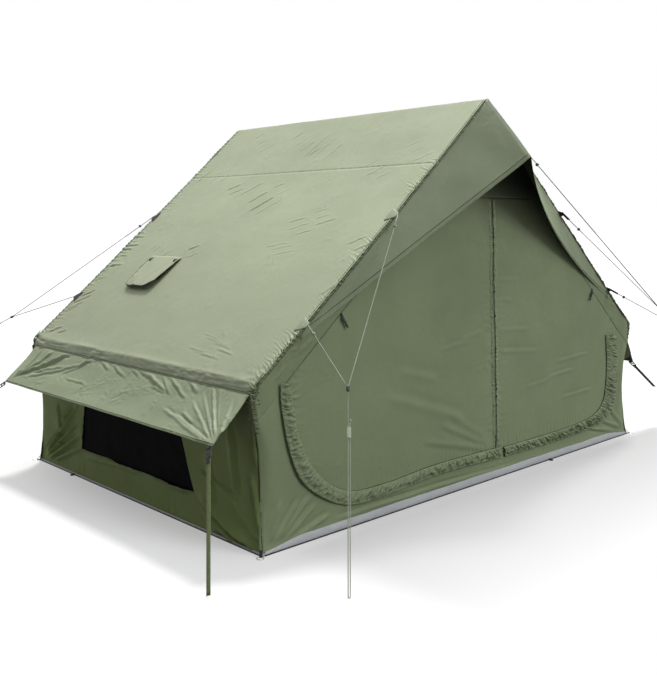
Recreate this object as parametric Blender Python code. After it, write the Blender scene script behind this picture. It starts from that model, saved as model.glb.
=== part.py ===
"""Inflatable gable tent: air-beam frame, fabric shell, door, awnings, vents and guy lines.

Metres, +Z up. The origin is the centre of the groundsheet's underside. X runs across the
gable and Y from the door end (minus) to the back (plus).
"""
import math

import bmesh
import bpy
from mathutils import Matrix, Vector

for old in list(bpy.data.objects):
    bpy.data.objects.remove(old, do_unlink=True)

# Clearances
GAP = 0.0003
OVERRUN = 0.02

# Shell
LENGTH = 2.075
BASE_HALF = 1.51
EAVE_FLARE = 0.03
EAVE_HEIGHT = 0.72
RIDGE_HEIGHT = 2.0
SHEET = 0.002
EAVE_HEM = 0.008
EAVE_STEPS = 5

# Groundsheet
FLOOR_THICK = 0.004
RIM_THICK = 0.002
RIM_END_HEIGHT = 0.04
RIM_SIDE_HEIGHT = 0.012

# Air beams
BEAM_RADIUS = 0.075
SLEEVE_WALL = 0.002
BEAM_SIDES = 16
EAVE_BEND = 0.13
EAVE_BEND_STEPS = 3
APEX_BEND = 0.12
APEX_BEND_STEPS = 5
BLADDER_RECESS = 0.012
SADDLE_DEPTH = 0.035

# Door
DOOR_MARGIN = 0.15
DOOR_SEAM_DROP = 0.15
DOOR_HEAD_DROP = 0.49
DOOR_SILL = 0.14
DOOR_CORNER_LEFT = 0.46
DOOR_CORNER_RIGHT = 0.20
DOOR_CORNER_STEPS = 6
ZIP_TOP_X = 0.047
ZIP_BOTTOM_X = 0.130
SLIDER_WIDTH = 0.012
SLIDER_LENGTH = 0.018
SLIDER_THICK = 0.005
PULL_WIDTH = 0.007
PULL_LENGTH = 0.062
PULL_THICK = 0.003
SLIDER_RISE = 0.012
TIE_INSET = 0.37
TIE_DROP = 0.052
TIE_LENGTH = 0.042
TIE_RADIUS = 0.005
TIE_SIDES = 8
FLAP_WIDTH = 0.065
FLAP_LAP = 0.04
FLAP_EDGE = 0.002
FLAP_CROWN = 0.007
FLAP_FOLD = 0.026
FLAP_TOP_DROP = 0.006
FLAP_ZIP_CLEARANCE = 0.02

# Visor over the door
VISOR_REACH = 0.27
VISOR_TIP_DROP = 0.30
VISOR_END_INSET = 0.26
VISOR_END_HEM = 0.03
VISOR_BELLY_SHARE = 0.383
VISOR_BELLY_REACH = 0.005
VISOR_BELLY_DROP = 0.29
VISOR_COLUMNS = 8

# Side windows and awnings
WINDOW_SILL = 0.16
WINDOW_HEAD_DROP = 0.12
WINDOW_SILL_HALF = 0.545
WINDOW_HEAD_HALF = 0.415
WINDOW_HEM = 0.02
AWNING_DEPTH = 0.254
AWNING_END_INSET = 0.03
AWNING_THICK = 0.002
AWNING_DROP = {"left": 41.5, "right": 60.0}
HINGE_STEPS = 4
BUCKLE_WIDTH = 0.036
BUCKLE_LENGTH = 0.044
BUCKLE_THICK = 0.004
BUCKLE_BAR = 0.005
BUCKLE_SEAT = 0.00085
STRAP_WIDTH = 0.025
STRAP_THICK = 0.002
STRAP_OUT_NEAR = 0.39
STRAP_AHEAD_NEAR = 0.21
STRAP_OUT_FAR = 0.76
STRAP_AHEAD_FAR = 0.50
STRAP_OUT_RIGHT = 0.66
STRAP_AHEAD_RIGHT = 0.10

# Roof vents
VENT_INSET = 0.58
VENT_Y = 0.48
VENT_WIDTH = 0.30
VENT_DEPTH = 0.24
VENT_RAISE = 12.0
VENT_HOLE_WIDTH = 0.22
VENT_HOLE_DEPTH = 0.14
VENT_HOLE_DROP = 0.04
HOOD_THICK = 0.002
MESH_THICK = 0.001

# Guy lines
TAB_UPPER_INSET = 0.85
TAB_LOWER_INSET = 0.29
TAB_WIDTH = 0.025
TAB_LENGTH = 0.02
CORD_RADIUS = 0.002
CORD_STEP = 0.07
CORD_SEAT = 0.0005
TIP_SEAT = 0.0009
RETURN_SPACING = 0.012
RETURN_TAIL = 0.03
TURN_STEPS = 6
TENSIONER_ALONG = 0.185
TENSIONER_LENGTH = 0.042
TENSIONER_WIDTH = 0.024
TENSIONER_THICK = 0.009
TENSIONER_BORE = 0.0027
BORE_SIDES = 12

# Corner peg rings
PEG_RING_RADIUS = 0.0155
PEG_WIRE_RADIUS = 0.002
PEG_RING_STEPS = 18
PEG_WIRE_SIDES = 6
EYE_BORE = 0.0034
EYE_WALL = 0.0014
EYE_WIDTH = 0.012
EYE_REACH = 0.036
EYE_ROOT = 0.03
EYE_TAB_THICK = 0.002
EYE_TAB_RISE = 0.001
EYE_SIDES = 16

# Valves
VALVE_HEIGHT = 0.32
VALVE_RADIUS = 0.022
VALVE_POCKET = 0.006
VALVE_STAND = 0.010
CAP_RADIUS = 0.027
CAP_THICK = 0.012
VALVE_SIDES = 24

# Derived
FRONT = -LENGTH / 2
BACK = LENGTH / 2
EAVE_HALF = BASE_HALF + EAVE_FLARE
WINDOW_HEAD = EAVE_HEIGHT - WINDOW_HEAD_DROP
DOOR_HALF = BASE_HALF - DOOR_MARGIN
DOOR_SEAM_TOP = RIDGE_HEIGHT - DOOR_SEAM_DROP
DOOR_HEAD = RIDGE_HEIGHT - DOOR_HEAD_DROP
DOOR_CORNER = {"left": DOOR_CORNER_LEFT, "right": DOOR_CORNER_RIGHT}
TIE_X = DOOR_HALF - TIE_INSET
VISOR_TIP_HEIGHT = RIDGE_HEIGHT - VISOR_TIP_DROP
VISOR_END_X = EAVE_HALF - VISOR_END_INSET
VENT_X = EAVE_HALF - VENT_INSET
TAB_UPPER_X = EAVE_HALF - TAB_UPPER_INSET
TAB_LOWER_X = EAVE_HALF - TAB_LOWER_INSET
PITCH = math.atan2(RIDGE_HEIGHT - EAVE_HEIGHT, EAVE_HALF)
ROOF_SLOPE = math.tan(PITCH)
LEAN_SLOPE = (EAVE_HALF - BASE_HALF) / EAVE_HEIGHT
LEAN = math.atan(LEAN_SLOPE)
EAVE_ROUND = BEAM_RADIUS + SHEET + GAP
INNER = SHEET + GAP
FLOOR_TOP = FLOOR_THICK + GAP
SIDES = {"left": -1, "right": 1}
ENDS = {"front": -1, "rear": 1}

COLOURS = {
    "roof_fabric": ((0.38, 0.42, 0.29), 0.75, 0.0),
    "wall_fabric": ((0.15, 0.19, 0.10), 0.8, 0.0),
    "awning_fabric": ((0.26, 0.30, 0.20), 0.75, 0.0),
    "floor_sheet": ((0.50, 0.52, 0.55), 0.5, 0.0),
    "sleeve_fabric": ((0.10, 0.12, 0.08), 0.8, 0.0),
    "bladder_film": ((0.75, 0.75, 0.72), 0.35, 0.0),
    "black_mesh": ((0.01, 0.01, 0.01), 0.9, 0.0),
    "black_plastic": ((0.012, 0.012, 0.012), 0.45, 0.0),
    "pale_plastic": ((0.45, 0.50, 0.40), 0.45, 0.0),
    "olive_webbing": ((0.19, 0.23, 0.10), 0.85, 0.0),
    "dark_webbing": ((0.02, 0.02, 0.02), 0.85, 0.0),
    "pale_cord": ((0.55, 0.58, 0.50), 0.8, 0.0),
    "dark_cord": ((0.05, 0.06, 0.05), 0.8, 0.0),
    "steel": ((0.62, 0.62, 0.60), 0.3, 1.0),
}


def add_object(name, mesh, colour):
    """Link a mesh or curve under the node's name with a material of its own."""
    rgb, roughness, metallic = COLOURS[colour]
    look = bpy.data.materials.new(name + "_look")
    look.use_nodes = True
    shader = look.node_tree.nodes["Principled BSDF"]
    shader.inputs["Base Color"].default_value = (*rgb, 1.0)
    shader.inputs["Roughness"].default_value = roughness
    shader.inputs["Metallic"].default_value = metallic
    mesh.materials.append(look)
    obj = bpy.data.objects.new(name, mesh)
    bpy.context.scene.collection.objects.link(obj)
    return obj


def finish(bm, name, colour, smooth=False):
    """Turn a bmesh into a node with its faces pointing out."""
    bmesh.ops.recalc_face_normals(bm, faces=bm.faces)
    mesh = bpy.data.meshes.new(name)
    bm.to_mesh(mesh)
    bm.free()
    if smooth:
        mesh.shade_smooth()
        mesh.set_sharp_from_angle(angle=math.radians(35.0))
    return add_object(name, mesh, colour)


def rings_mesh(rings, closed):
    """Skin a row of rings, capped at its ends or joined end to end."""
    bm = bmesh.new()
    loops = [[bm.verts.new(point) for point in ring] for ring in rings]
    pairs = list(zip(loops, loops[1:]))
    if closed:
        pairs.append((loops[-1], loops[0]))
    for first, second in pairs:
        for index in range(len(first)):
            after = (index + 1) % len(first)
            bm.faces.new((first[index], first[after], second[after], second[index]))
    if not closed:
        bm.faces.new(loops[0])
        bm.faces.new(loops[-1])
    return bm


def prism(outline, low, high, place):
    """A flat outline given a thickness; place turns (a, b, depth) into a point."""
    rings = [[place(a, b, depth) for a, b in outline] for depth in (low, high)]
    return rings_mesh(rings, closed=False)


def across(a, b, depth):
    """An outline seen from the door end: a is X, b is Z and the depth is Y."""
    return Vector((a, depth, b))


def set_origin(obj, point):
    """Move the object's origin to a point without moving its mesh."""
    obj.data.transform(Matrix.Translation(-Vector(point)))
    obj.location = Vector(point)


def cutter(name, bm):
    """A hidden helper solid for a Boolean."""
    bmesh.ops.recalc_face_normals(bm, faces=bm.faces)
    mesh = bpy.data.meshes.new(name)
    bm.to_mesh(mesh)
    bm.free()
    obj = bpy.data.objects.new(name, mesh)
    bpy.context.scene.collection.objects.link(obj)
    obj.hide_render = True
    obj.display_type = "WIRE"
    return obj


def boolean(obj, other, operation="DIFFERENCE"):
    """Add an exact Boolean with the other object."""
    modifier = obj.modifiers.new(operation.lower(), "BOOLEAN")
    modifier.operation = operation
    modifier.solver = "EXACT"
    modifier.object = other


def box_bmesh(low, high):
    """An axis-aligned box between two corners."""
    bm = bmesh.new()
    bmesh.ops.create_cube(bm, size=1.0)
    for vert in bm.verts:
        for axis in range(3):
            vert.co[axis] = high[axis] if vert.co[axis] > 0 else low[axis]
    return bm


def rod_bmesh(start, end, radius, sides):
    """A straight round bar between two points."""
    start = Vector(start)
    end = Vector(end)
    return tube_bmesh([start, end], radius, sides, (end - start).orthogonal())


def wall_x(z, inset):
    """Half-width of the leaning side wall at a height, inset from its outer face."""
    return BASE_HALF + LEAN_SLOPE * z - inset / math.cos(LEAN)


def roof_z(x, inset):
    """Height of the roof plane at a half-width, inset from its outer face."""
    return RIDGE_HEIGHT - ROOF_SLOPE * abs(x) - inset / math.cos(PITCH)


def line_meets_wall(height, inset):
    """Where a line parallel to the roof, at a height on the centre, meets the side wall."""
    reach = BASE_HALF - inset / math.cos(LEAN)
    z = (height - ROOF_SLOPE * reach) / (1 + ROOF_SLOPE * LEAN_SLOPE)
    return wall_x(z, inset), z


def eave_corner(inset):
    """Where the roof plane and the side wall's plane cross, both inset alike."""
    return line_meets_wall(roof_z(0, inset), inset)


def eave_arc(inset):
    """The rounded eave from the roof down to the wall, its flats tangent to the inset."""
    centre_x, centre_z = eave_corner(EAVE_ROUND)
    low = -LEAN
    step = (math.pi / 2 - PITCH - low) / EAVE_STEPS
    radius = (EAVE_ROUND - inset) / math.cos(step / 2)
    points = []
    for index in reversed(range(EAVE_STEPS)):
        angle = low + (index + 0.5) * step
        points.append((centre_x + radius * math.cos(angle), centre_z + radius * math.sin(angle)))
    return points


SEAM_Z = eave_corner(EAVE_ROUND)[1] - EAVE_HEM


def rounded_path(corners, bends, steps):
    """A flat path through corners, each rounded by its bend radius."""
    path = [corners[0]]
    for index in range(1, len(corners) - 1):
        before = (corners[index - 1] - corners[index]).normalized()
        after = (corners[index + 1] - corners[index]).normalized()
        half = before.angle(after) / 2
        radius = bends[index - 1]
        centre = corners[index] + (before + after).normalized() * radius / math.sin(half)
        start = corners[index] + before * radius / math.tan(half) - centre
        end = corners[index] + after * radius / math.tan(half) - centre
        count = steps[index - 1]
        for part in range(count + 1):
            path.append(centre + start.normalized().slerp(end.normalized(), part / count) * radius)
    path.append(corners[-1])
    return path


def tube_rings(path, radius, sides, upright, ends=None):
    """Mitred rings of a tube along a path; upright is a direction across the path."""
    rings = []
    for index, point in enumerate(path):
        into = (point - path[max(index - 1, 0)]).normalized()
        out = (path[min(index + 1, len(path) - 1)] - point).normalized()
        along = into if index else out
        normal = (into + out).normalized() if into.length and out.length else along
        if ends and index in (0, len(path) - 1):
            normal = ends
        side = along.cross(upright).normalized()
        lift = side.cross(along).normalized()
        ring = []
        for turn in range(sides):
            angle = math.tau * turn / sides
            arm = (side * math.cos(angle) + lift * math.sin(angle)) * radius
            ring.append(point + arm - along * arm.dot(normal) / along.dot(normal))
        rings.append(ring)
    return rings


def tube_bmesh(path, radius, sides, upright, inner=0, ends=None):
    """A solid tube, or a hollow one open at both ends if an inner radius is given."""
    rings = tube_rings(path, radius, sides, upright, ends)
    if inner:
        rings += list(reversed(tube_rings(path, inner, sides, upright, ends)))
    return rings_mesh(rings, closed=bool(inner))


def ground_sheet():
    """The grey tub floor with its rim and a webbing eye at each corner."""
    half_x = wall_x(RIM_SIDE_HEIGHT, 0) + GAP
    half_y = BACK + GAP
    outer = (half_x + RIM_THICK, half_y + RIM_THICK, RIM_END_HEIGHT)
    tub = finish(box_bmesh((-outer[0], -outer[1], 0), outer), "groundsheet", "floor_sheet")
    pocket = ((-half_x, -half_y, FLOOR_THICK), (half_x, half_y, RIM_END_HEIGHT + OVERRUN))
    boolean(tub, cutter("floor_pocket", box_bmesh(*pocket)))
    for sign in SIDES.values():
        edges = sorted((sign * (half_x - OVERRUN), sign * (outer[0] + OVERRUN)))
        low = (edges[0], -half_y, RIM_SIDE_HEIGHT)
        high = (edges[1], half_y, RIM_END_HEIGHT + OVERRUN)
        boolean(tub, cutter(f"side_rim_cut_{sign}", box_bmesh(low, high)))
    for end, end_sign in ENDS.items():
        for side, sign in SIDES.items():
            corner = Vector((sign * outer[0], end_sign * outer[1], 0))
            boolean(tub, corner_eye(f"{end}_{side}_eye", corner), "UNION")
            peg_ring(f"{end}_{side}_peg_ring", corner)


def eye_frame(corner):
    """Outward direction, width direction and bore centre of a corner's webbing eye."""
    outward = Vector((math.copysign(1, corner.x), math.copysign(1, corner.y), 0)).normalized()
    width = Vector((0, 0, 1)).cross(outward)
    centre = corner + outward * EYE_REACH + Vector((0, 0, EYE_BORE + EYE_WALL))
    return outward, width, centre


def corner_eye(name, corner):
    """Webbing folded round a peg ring: a flat tab that ends in a bored roll."""
    outward, width, centre = eye_frame(corner)
    reach = EYE_BORE + EYE_WALL
    top = EYE_TAB_RISE + EYE_TAB_THICK
    outline = [(-EYE_REACH - EYE_ROOT, EYE_TAB_RISE)]
    start = math.asin((reach - EYE_TAB_RISE) / reach)
    finish_angle = math.asin((reach - top) / reach)
    sweep = math.tau - start + finish_angle
    for step in range(EYE_SIDES + 1):
        angle = math.pi + start + sweep * step / EYE_SIDES
        outline.append((reach * math.cos(angle), reach + reach * math.sin(angle)))
    outline.append((-EYE_REACH - EYE_ROOT, top))

    def place(a, b, depth):
        return centre + outward * a + width * depth + Vector((0, 0, b - reach))

    eye = cutter(name, prism(outline, -EYE_WIDTH / 2, EYE_WIDTH / 2, place))
    half = width * (EYE_WIDTH / 2 + OVERRUN)
    boolean(eye, cutter(name + "_bore", rod_bmesh(centre - half, centre + half, EYE_BORE, EYE_SIDES)))
    return eye


def peg_ring(name, corner):
    """A welded steel ring that swings in the eye and lies on the ground."""
    outward, width, centre = eye_frame(corner)
    drop = EYE_BORE * math.cos(math.pi / EYE_SIDES) - PEG_WIRE_RADIUS - GAP
    sag = PEG_RING_RADIUS - math.sqrt(PEG_RING_RADIUS ** 2 - (EYE_WIDTH / 2) ** 2)
    middle = centre + outward * (PEG_RING_RADIUS - sag / 2) - Vector((0, 0, drop))
    rings = []
    for turn in range(PEG_RING_STEPS):
        angle = math.tau * turn / PEG_RING_STEPS
        arm = outward * math.cos(angle) + width * math.sin(angle)
        ring = []
        for side in range(PEG_WIRE_SIDES):
            roll = math.tau * (side + 0.5) / PEG_WIRE_SIDES
            out = PEG_RING_RADIUS + PEG_WIRE_RADIUS * math.cos(roll)
            ring.append(middle + arm * out + Vector((0, 0, PEG_WIRE_RADIUS * math.sin(roll))))
        rings.append(ring)
    ring_object = finish(rings_mesh(rings, closed=True), name, "steel", smooth=True)
    set_origin(ring_object, centre)


def gable_half(inset, foot):
    """The gable's edge from just right of the ridge down to the floor."""
    return eave_arc(inset) + [(wall_x(foot, inset), foot)]


def mirrored(points):
    """The same points on the left, in the opposite order."""
    return [(-a, b) for a, b in reversed(points)]


def rear_wall():
    """The plain back gable."""
    half = gable_half(INNER, FLOOR_TOP)
    outline = [(0, roof_z(0, INNER))] + half + mirrored(half)
    finish(prism(outline, BACK - SHEET, BACK, across), "rear_wall", "wall_fabric")


def door_side(side, inset):
    """Half of the door's outline with X out, from the slanted seam down to the sill."""
    side_x = DOOR_HALF - inset
    sill = DOOR_SILL + inset
    radius = DOOR_CORNER[side] - inset
    points = [(side_x, DOOR_SEAM_TOP - inset / math.cos(PITCH) - ROOF_SLOPE * side_x)]
    for step in range(DOOR_CORNER_STEPS + 1):
        angle = -math.pi / 2 * step / DOOR_CORNER_STEPS
        across_x = side_x - radius + radius * math.cos(angle)
        points.append((across_x, sill + radius + radius * math.sin(angle)))
    return points


def door_head_x(height, seam_top):
    """Half-width where the slanted seam meets the level head seam."""
    return (seam_top - height) / ROOF_SLOPE


def front_gable():
    """The chevron panel between the roof and the door's slanted seams."""
    half = eave_arc(INNER)
    low_x, low_z = line_meets_wall(DOOR_SEAM_TOP, INNER)
    half.append((low_x, low_z))
    half.append((door_head_x(DOOR_HEAD, DOOR_SEAM_TOP), DOOR_HEAD))
    outline = [(0, roof_z(0, INNER))] + half + mirrored(half)
    finish(prism(outline, FRONT, FRONT + SHEET, across), "front_gable", "wall_fabric")


def front_surround():
    """The wall beside and below the door, one U-shaped panel."""
    seam_top = DOOR_SEAM_TOP - GAP / math.cos(PITCH)
    outer = [line_meets_wall(seam_top, INNER), (wall_x(FLOOR_TOP, INNER), FLOOR_TOP)]
    inner = {side: door_side(side, 0) for side in SIDES}
    for points in inner.values():
        points[0] = (DOOR_HALF, seam_top - ROOF_SLOPE * DOOR_HALF)
    outline = outer + mirrored(outer) + [(-a, b) for a, b in inner["left"]]
    outline += list(reversed(inner["right"]))
    finish(prism(outline, FRONT, FRONT + SHEET, across), "front_surround", "wall_fabric")


def zip_x(height):
    """Where the centre zip runs at a height."""
    share = (height - DOOR_SILL) / (DOOR_HEAD - DOOR_SILL)
    return ZIP_BOTTOM_X + (ZIP_TOP_X - ZIP_BOTTOM_X) * share


def door_leaf(side, sign):
    """One half of the door, hung from the slanted seam."""
    seam_top = DOOR_SEAM_TOP - GAP / math.cos(PITCH)
    head = DOOR_HEAD - GAP
    sill = DOOR_SILL + GAP
    outline = [(sign * a, b) for a, b in door_side(side, GAP)]
    outline.append((zip_x(sill) + sign * GAP, sill))
    outline.append((zip_x(head) + sign * GAP, head))
    outline.append((sign * door_head_x(head, seam_top), head))
    leaf = finish(prism(outline, FRONT, FRONT + SHEET, across), f"{side}_door_leaf", "wall_fabric")
    hinge = (sign * DOOR_HALF, FRONT, DOOR_SEAM_TOP - ROOF_SLOPE * DOOR_HALF)
    set_origin(leaf, hinge)
    tie_top = DOOR_SEAM_TOP - ROOF_SLOPE * TIE_X - TIE_DROP
    tie_y = FRONT - TIE_RADIUS - GAP
    start = (sign * TIE_X, tie_y, tie_top)
    toggle = rod_bmesh(start, (sign * TIE_X, tie_y, tie_top - TIE_LENGTH), TIE_RADIUS, TIE_SIDES)
    tie = finish(toggle, f"{side}_door_tie", "black_plastic", smooth=True)
    set_origin(tie, hinge)
    set_origin(door_flap(side, sign), hinge)


# The gathered flap's section: shares of its width and of its crown. Every other gather
# keeps only this share of the crown.
FLAP_SECTION_SHARES = ((0, 0), (0.3, 1), (0.7, 0.85), (1, 0))
FLAP_DIP_SHARE = 0.6


def flap_rail(side, sign, inset):
    """A line along the flap: down the door's side, round its corner and along its sill."""
    points = door_side(side, inset)
    seam_end = DOOR_SEAM_TOP - ROOF_SLOPE * (DOOR_HALF + FLAP_LAP)
    points[0] = (points[0][0], seam_end - FLAP_TOP_DROP)
    sill = points[-1][1]
    points.append((sign * zip_x(sill) + FLAP_ZIP_CLEARANCE, sill))
    return [Vector((sign * a, FRONT - GAP, b)) for a, b in points]


def door_flap(side, sign):
    """The gathered flap over the leaf's edge zip, lapping onto the surround."""
    insets = [share * FLAP_WIDTH - FLAP_LAP for share, _ in FLAP_SECTION_SHARES]
    rails = [flap_rail(side, sign, inset) for inset in insets]
    places = []
    for index, (first, second) in enumerate(zip(rails[0], rails[0][1:])):
        count = max(1, round((second - first).length / FLAP_FOLD))
        places += [(index, part / count) for part in range(count)]
    places.append((len(rails[0]) - 2, 1))
    rings = []
    for number, (index, share) in enumerate(places):
        crown = FLAP_CROWN * (FLAP_DIP_SHARE if number % 2 else 1)
        base = [rail[index].lerp(rail[index + 1], share) for rail in rails]
        ring = [base[0]]
        for point, (_, height) in zip(base, FLAP_SECTION_SHARES):
            ring.append(point - Vector((0, FLAP_EDGE + crown * height, 0)))
        rings.append(ring + [base[-1]])
    return finish(rings_mesh(rings, closed=False), f"{side}_door_flap", "wall_fabric")


def zip_slider():
    """The centre zip's slider with its pull hanging in front."""
    low = DOOR_SILL + SLIDER_RISE + PULL_LENGTH
    y = FRONT - GAP
    half = SLIDER_WIDTH / 2
    top = low + SLIDER_LENGTH
    pull = PULL_WIDTH / 2
    body = box_bmesh((-half, y - SLIDER_THICK, low), (half, y, top))
    slider = finish(body, "door_zip_slider", "black_plastic")
    strip = box_bmesh((-pull, y - PULL_THICK, low - PULL_LENGTH), (pull, y - GAP, low + half))
    boolean(slider, cutter("zip_pull", strip), "UNION")
    run = Vector((ZIP_TOP_X - ZIP_BOTTOM_X, 0, DOOR_HEAD - DOOR_SILL)).normalized()
    foot = Vector((zip_x(low), 0, low))
    turn = Matrix.Rotation(math.atan2(run.x, run.z), 4, "Y")
    shift = Matrix.Translation(foot) @ turn @ Matrix.Translation((0, 0, -low))
    slider.data.transform(shift)
    bpy.data.objects["zip_pull"].data.transform(shift)


def side_wall(side, sign):
    """A low side wall with a window opening, and the mesh sewn behind it."""
    top = SEAM_Z - GAP
    outline = [(wall_x(FLOOR_TOP, 0), FLOOR_TOP), (wall_x(top, 0), top)]
    outline += [(wall_x(top, SHEET), top), (wall_x(FLOOR_TOP, SHEET), FLOOR_TOP)]
    outline = [(sign * a, b) for a, b in outline]
    wall = finish(prism(outline, FRONT, BACK, across), f"{side}_wall", "wall_fabric")

    def window(inner, outer, hem):
        low = WINDOW_SILL - hem
        high = WINDOW_HEAD + hem
        points = [(-WINDOW_SILL_HALF - hem, low), (WINDOW_SILL_HALF + hem, low)]
        points += [(WINDOW_HEAD_HALF + hem, high), (-WINDOW_HEAD_HALF - hem, high)]

        def place(a, b, inset):
            return Vector((sign * wall_x(b, inset), a, b))

        return prism(points, inner, outer, place)

    boolean(wall, cutter(f"{side}_window_hole", window(-OVERRUN, SHEET + OVERRUN, 0)))
    mesh_depth = SHEET + GAP + MESH_THICK
    finish(window(SHEET + GAP, mesh_depth, WINDOW_HEM), f"{side}_window_mesh", "black_mesh")


def roof_half(side, sign):
    """One roof slope with its rounded eave, four webbing guy tabs and a vent hole."""
    outer = [(GAP / 2, roof_z(GAP / 2, 0))]
    inner = [(GAP / 2, roof_z(GAP / 2, SHEET))]
    tabbed = set()
    for centre in (TAB_UPPER_X, TAB_LOWER_X):
        tabbed.add(len(outer))
        for x in (centre - TAB_WIDTH / 2, centre + TAB_WIDTH / 2):
            outer.append((x, roof_z(x, 0)))
            inner.append((x, roof_z(x, SHEET)))
    outer += eave_arc(0) + [(wall_x(SEAM_Z, 0), SEAM_Z)]
    inner += eave_arc(SHEET) + [(wall_x(SEAM_Z, SHEET), SEAM_Z)]
    bm = bmesh.new()

    def row(points, y):
        return [bm.verts.new((sign * x, y, z)) for x, z in points]

    lines = [row(outer, FRONT), row(inner, FRONT), row(inner, BACK), row(outer, BACK)]
    last = len(outer) - 1
    for index in range(last):
        for first, second in zip(lines, lines[1:] + lines[:1]):
            pair = (first, second) in ((lines[0], lines[1]), (lines[2], lines[3]))
            if pair and index in tabbed:
                continue
            bm.faces.new((first[index], first[index + 1], second[index + 1], second[index]))
    for index in (0, last):
        bm.faces.new([line[index] for line in lines])
    for index in tabbed:
        for near, far, y in ((0, 1, FRONT - TAB_LENGTH), (3, 2, BACK + TAB_LENGTH)):
            base = [lines[near][index], lines[near][index + 1]]
            base += [lines[far][index + 1], lines[far][index]]
            tip = [bm.verts.new((vert.co.x, y, vert.co.z)) for vert in base]
            for turn in range(4):
                after = (turn + 1) % 4
                bm.faces.new((base[turn], base[after], tip[after], tip[turn]))
            bm.faces.new(tip)
    roof = finish(bm, f"{side}_roof", "roof_fabric")
    roof_vent(side, sign, roof)


def roof_vent(side, sign, roof):
    """The mesh-backed vent hole and the hood that is hinged along its upper edge."""
    top = Vector((sign * VENT_X, VENT_Y, roof_z(VENT_X, 0)))
    down = Vector((sign * math.cos(PITCH), 0, -math.sin(PITCH)))
    out = Vector((sign * math.sin(PITCH), 0, math.cos(PITCH)))
    along = Vector((0, 1, 0))

    def slab(near, far, half, low, high):
        def place(a, b, depth):
            return top + down * a + along * b + out * depth

        outline = [(near, -half), (far, -half), (far, half), (near, half)]
        return prism(outline, low, high, place)

    near = VENT_HOLE_DROP
    far = near + VENT_HOLE_DEPTH
    half = VENT_HOLE_WIDTH / 2
    boolean(roof, cutter(f"{side}_vent_hole", slab(near, far, half, -OVERRUN, OVERRUN)))
    edges = (near - WINDOW_HEM, far + WINDOW_HEM, half + WINDOW_HEM)
    under = -SHEET - GAP
    finish(slab(*edges, under - MESH_THICK, under), f"{side}_vent_mesh", "black_mesh")
    rise = math.radians(VENT_RAISE)
    radius = HOOD_THICK / 2
    outline = pill_outline(radius, VENT_DEPTH)
    pivot = top + out * (radius + GAP)
    ahead = down * math.cos(rise) + out * math.sin(rise)
    above = out * math.cos(rise) - down * math.sin(rise)

    def place_hood(a, b, depth):
        return pivot + ahead * a + above * b + along * depth

    width = VENT_WIDTH / 2
    hood = finish(prism(outline, -width, width, place_hood), f"{side}_vent_hood", "roof_fabric")
    set_origin(hood, pivot)


def pill_outline(radius, depth):
    """A sheet's cross-section with a round hinge edge at the origin."""
    points = []
    for step in range(HINGE_STEPS + 1):
        angle = math.pi / 2 + math.pi * step / HINGE_STEPS
        points.append((radius * math.cos(angle), radius * math.sin(angle)))
    return points + [(depth, -radius), (depth, radius)]


def awning_frame(side, sign):
    """The awning's hinge point at its middle, its outward run and its drop angle."""
    radius = AWNING_THICK / 2
    hinge = Vector((sign * (wall_x(SEAM_Z, 0) + GAP + radius), 0, SEAM_Z))
    drop = math.radians(AWNING_DROP[side])
    run = Vector((sign * math.cos(drop), 0, -math.sin(drop)))
    return hinge, run


def awning(side, sign):
    """The window awning, hinged on the eave seam."""
    hinge, run = awning_frame(side, sign)
    above = Vector((-sign * run.z, 0, sign * run.x))

    def place(a, b, depth):
        return hinge + run * a + above * b + Vector((0, depth, 0))

    outline = pill_outline(AWNING_THICK / 2, AWNING_DEPTH)
    low = FRONT + AWNING_END_INSET
    high = BACK - AWNING_END_INSET
    panel = finish(prism(outline, low, high, place), f"{side}_awning", "awning_fabric")
    set_origin(panel, hinge)


# Each strap runs from its awning's outer corner towards a ground point this far out from
# the eave and beyond the gable. The two ropes that leave the photo's view stop just past
# its edge, at this share of the way.
STRAP_FOOT = {
    ("left", "front"): (STRAP_OUT_NEAR, STRAP_AHEAD_NEAR),
    ("left", "rear"): (STRAP_OUT_FAR, STRAP_AHEAD_FAR),
    ("right", "front"): (STRAP_OUT_RIGHT, STRAP_AHEAD_RIGHT),
    ("right", "rear"): (STRAP_OUT_FAR, STRAP_AHEAD_FAR),
}
STRAP_END_SHARE = {("left", "front"): 1.0, ("left", "rear"): 0.3, ("right", "front"): 0.42}


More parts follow.
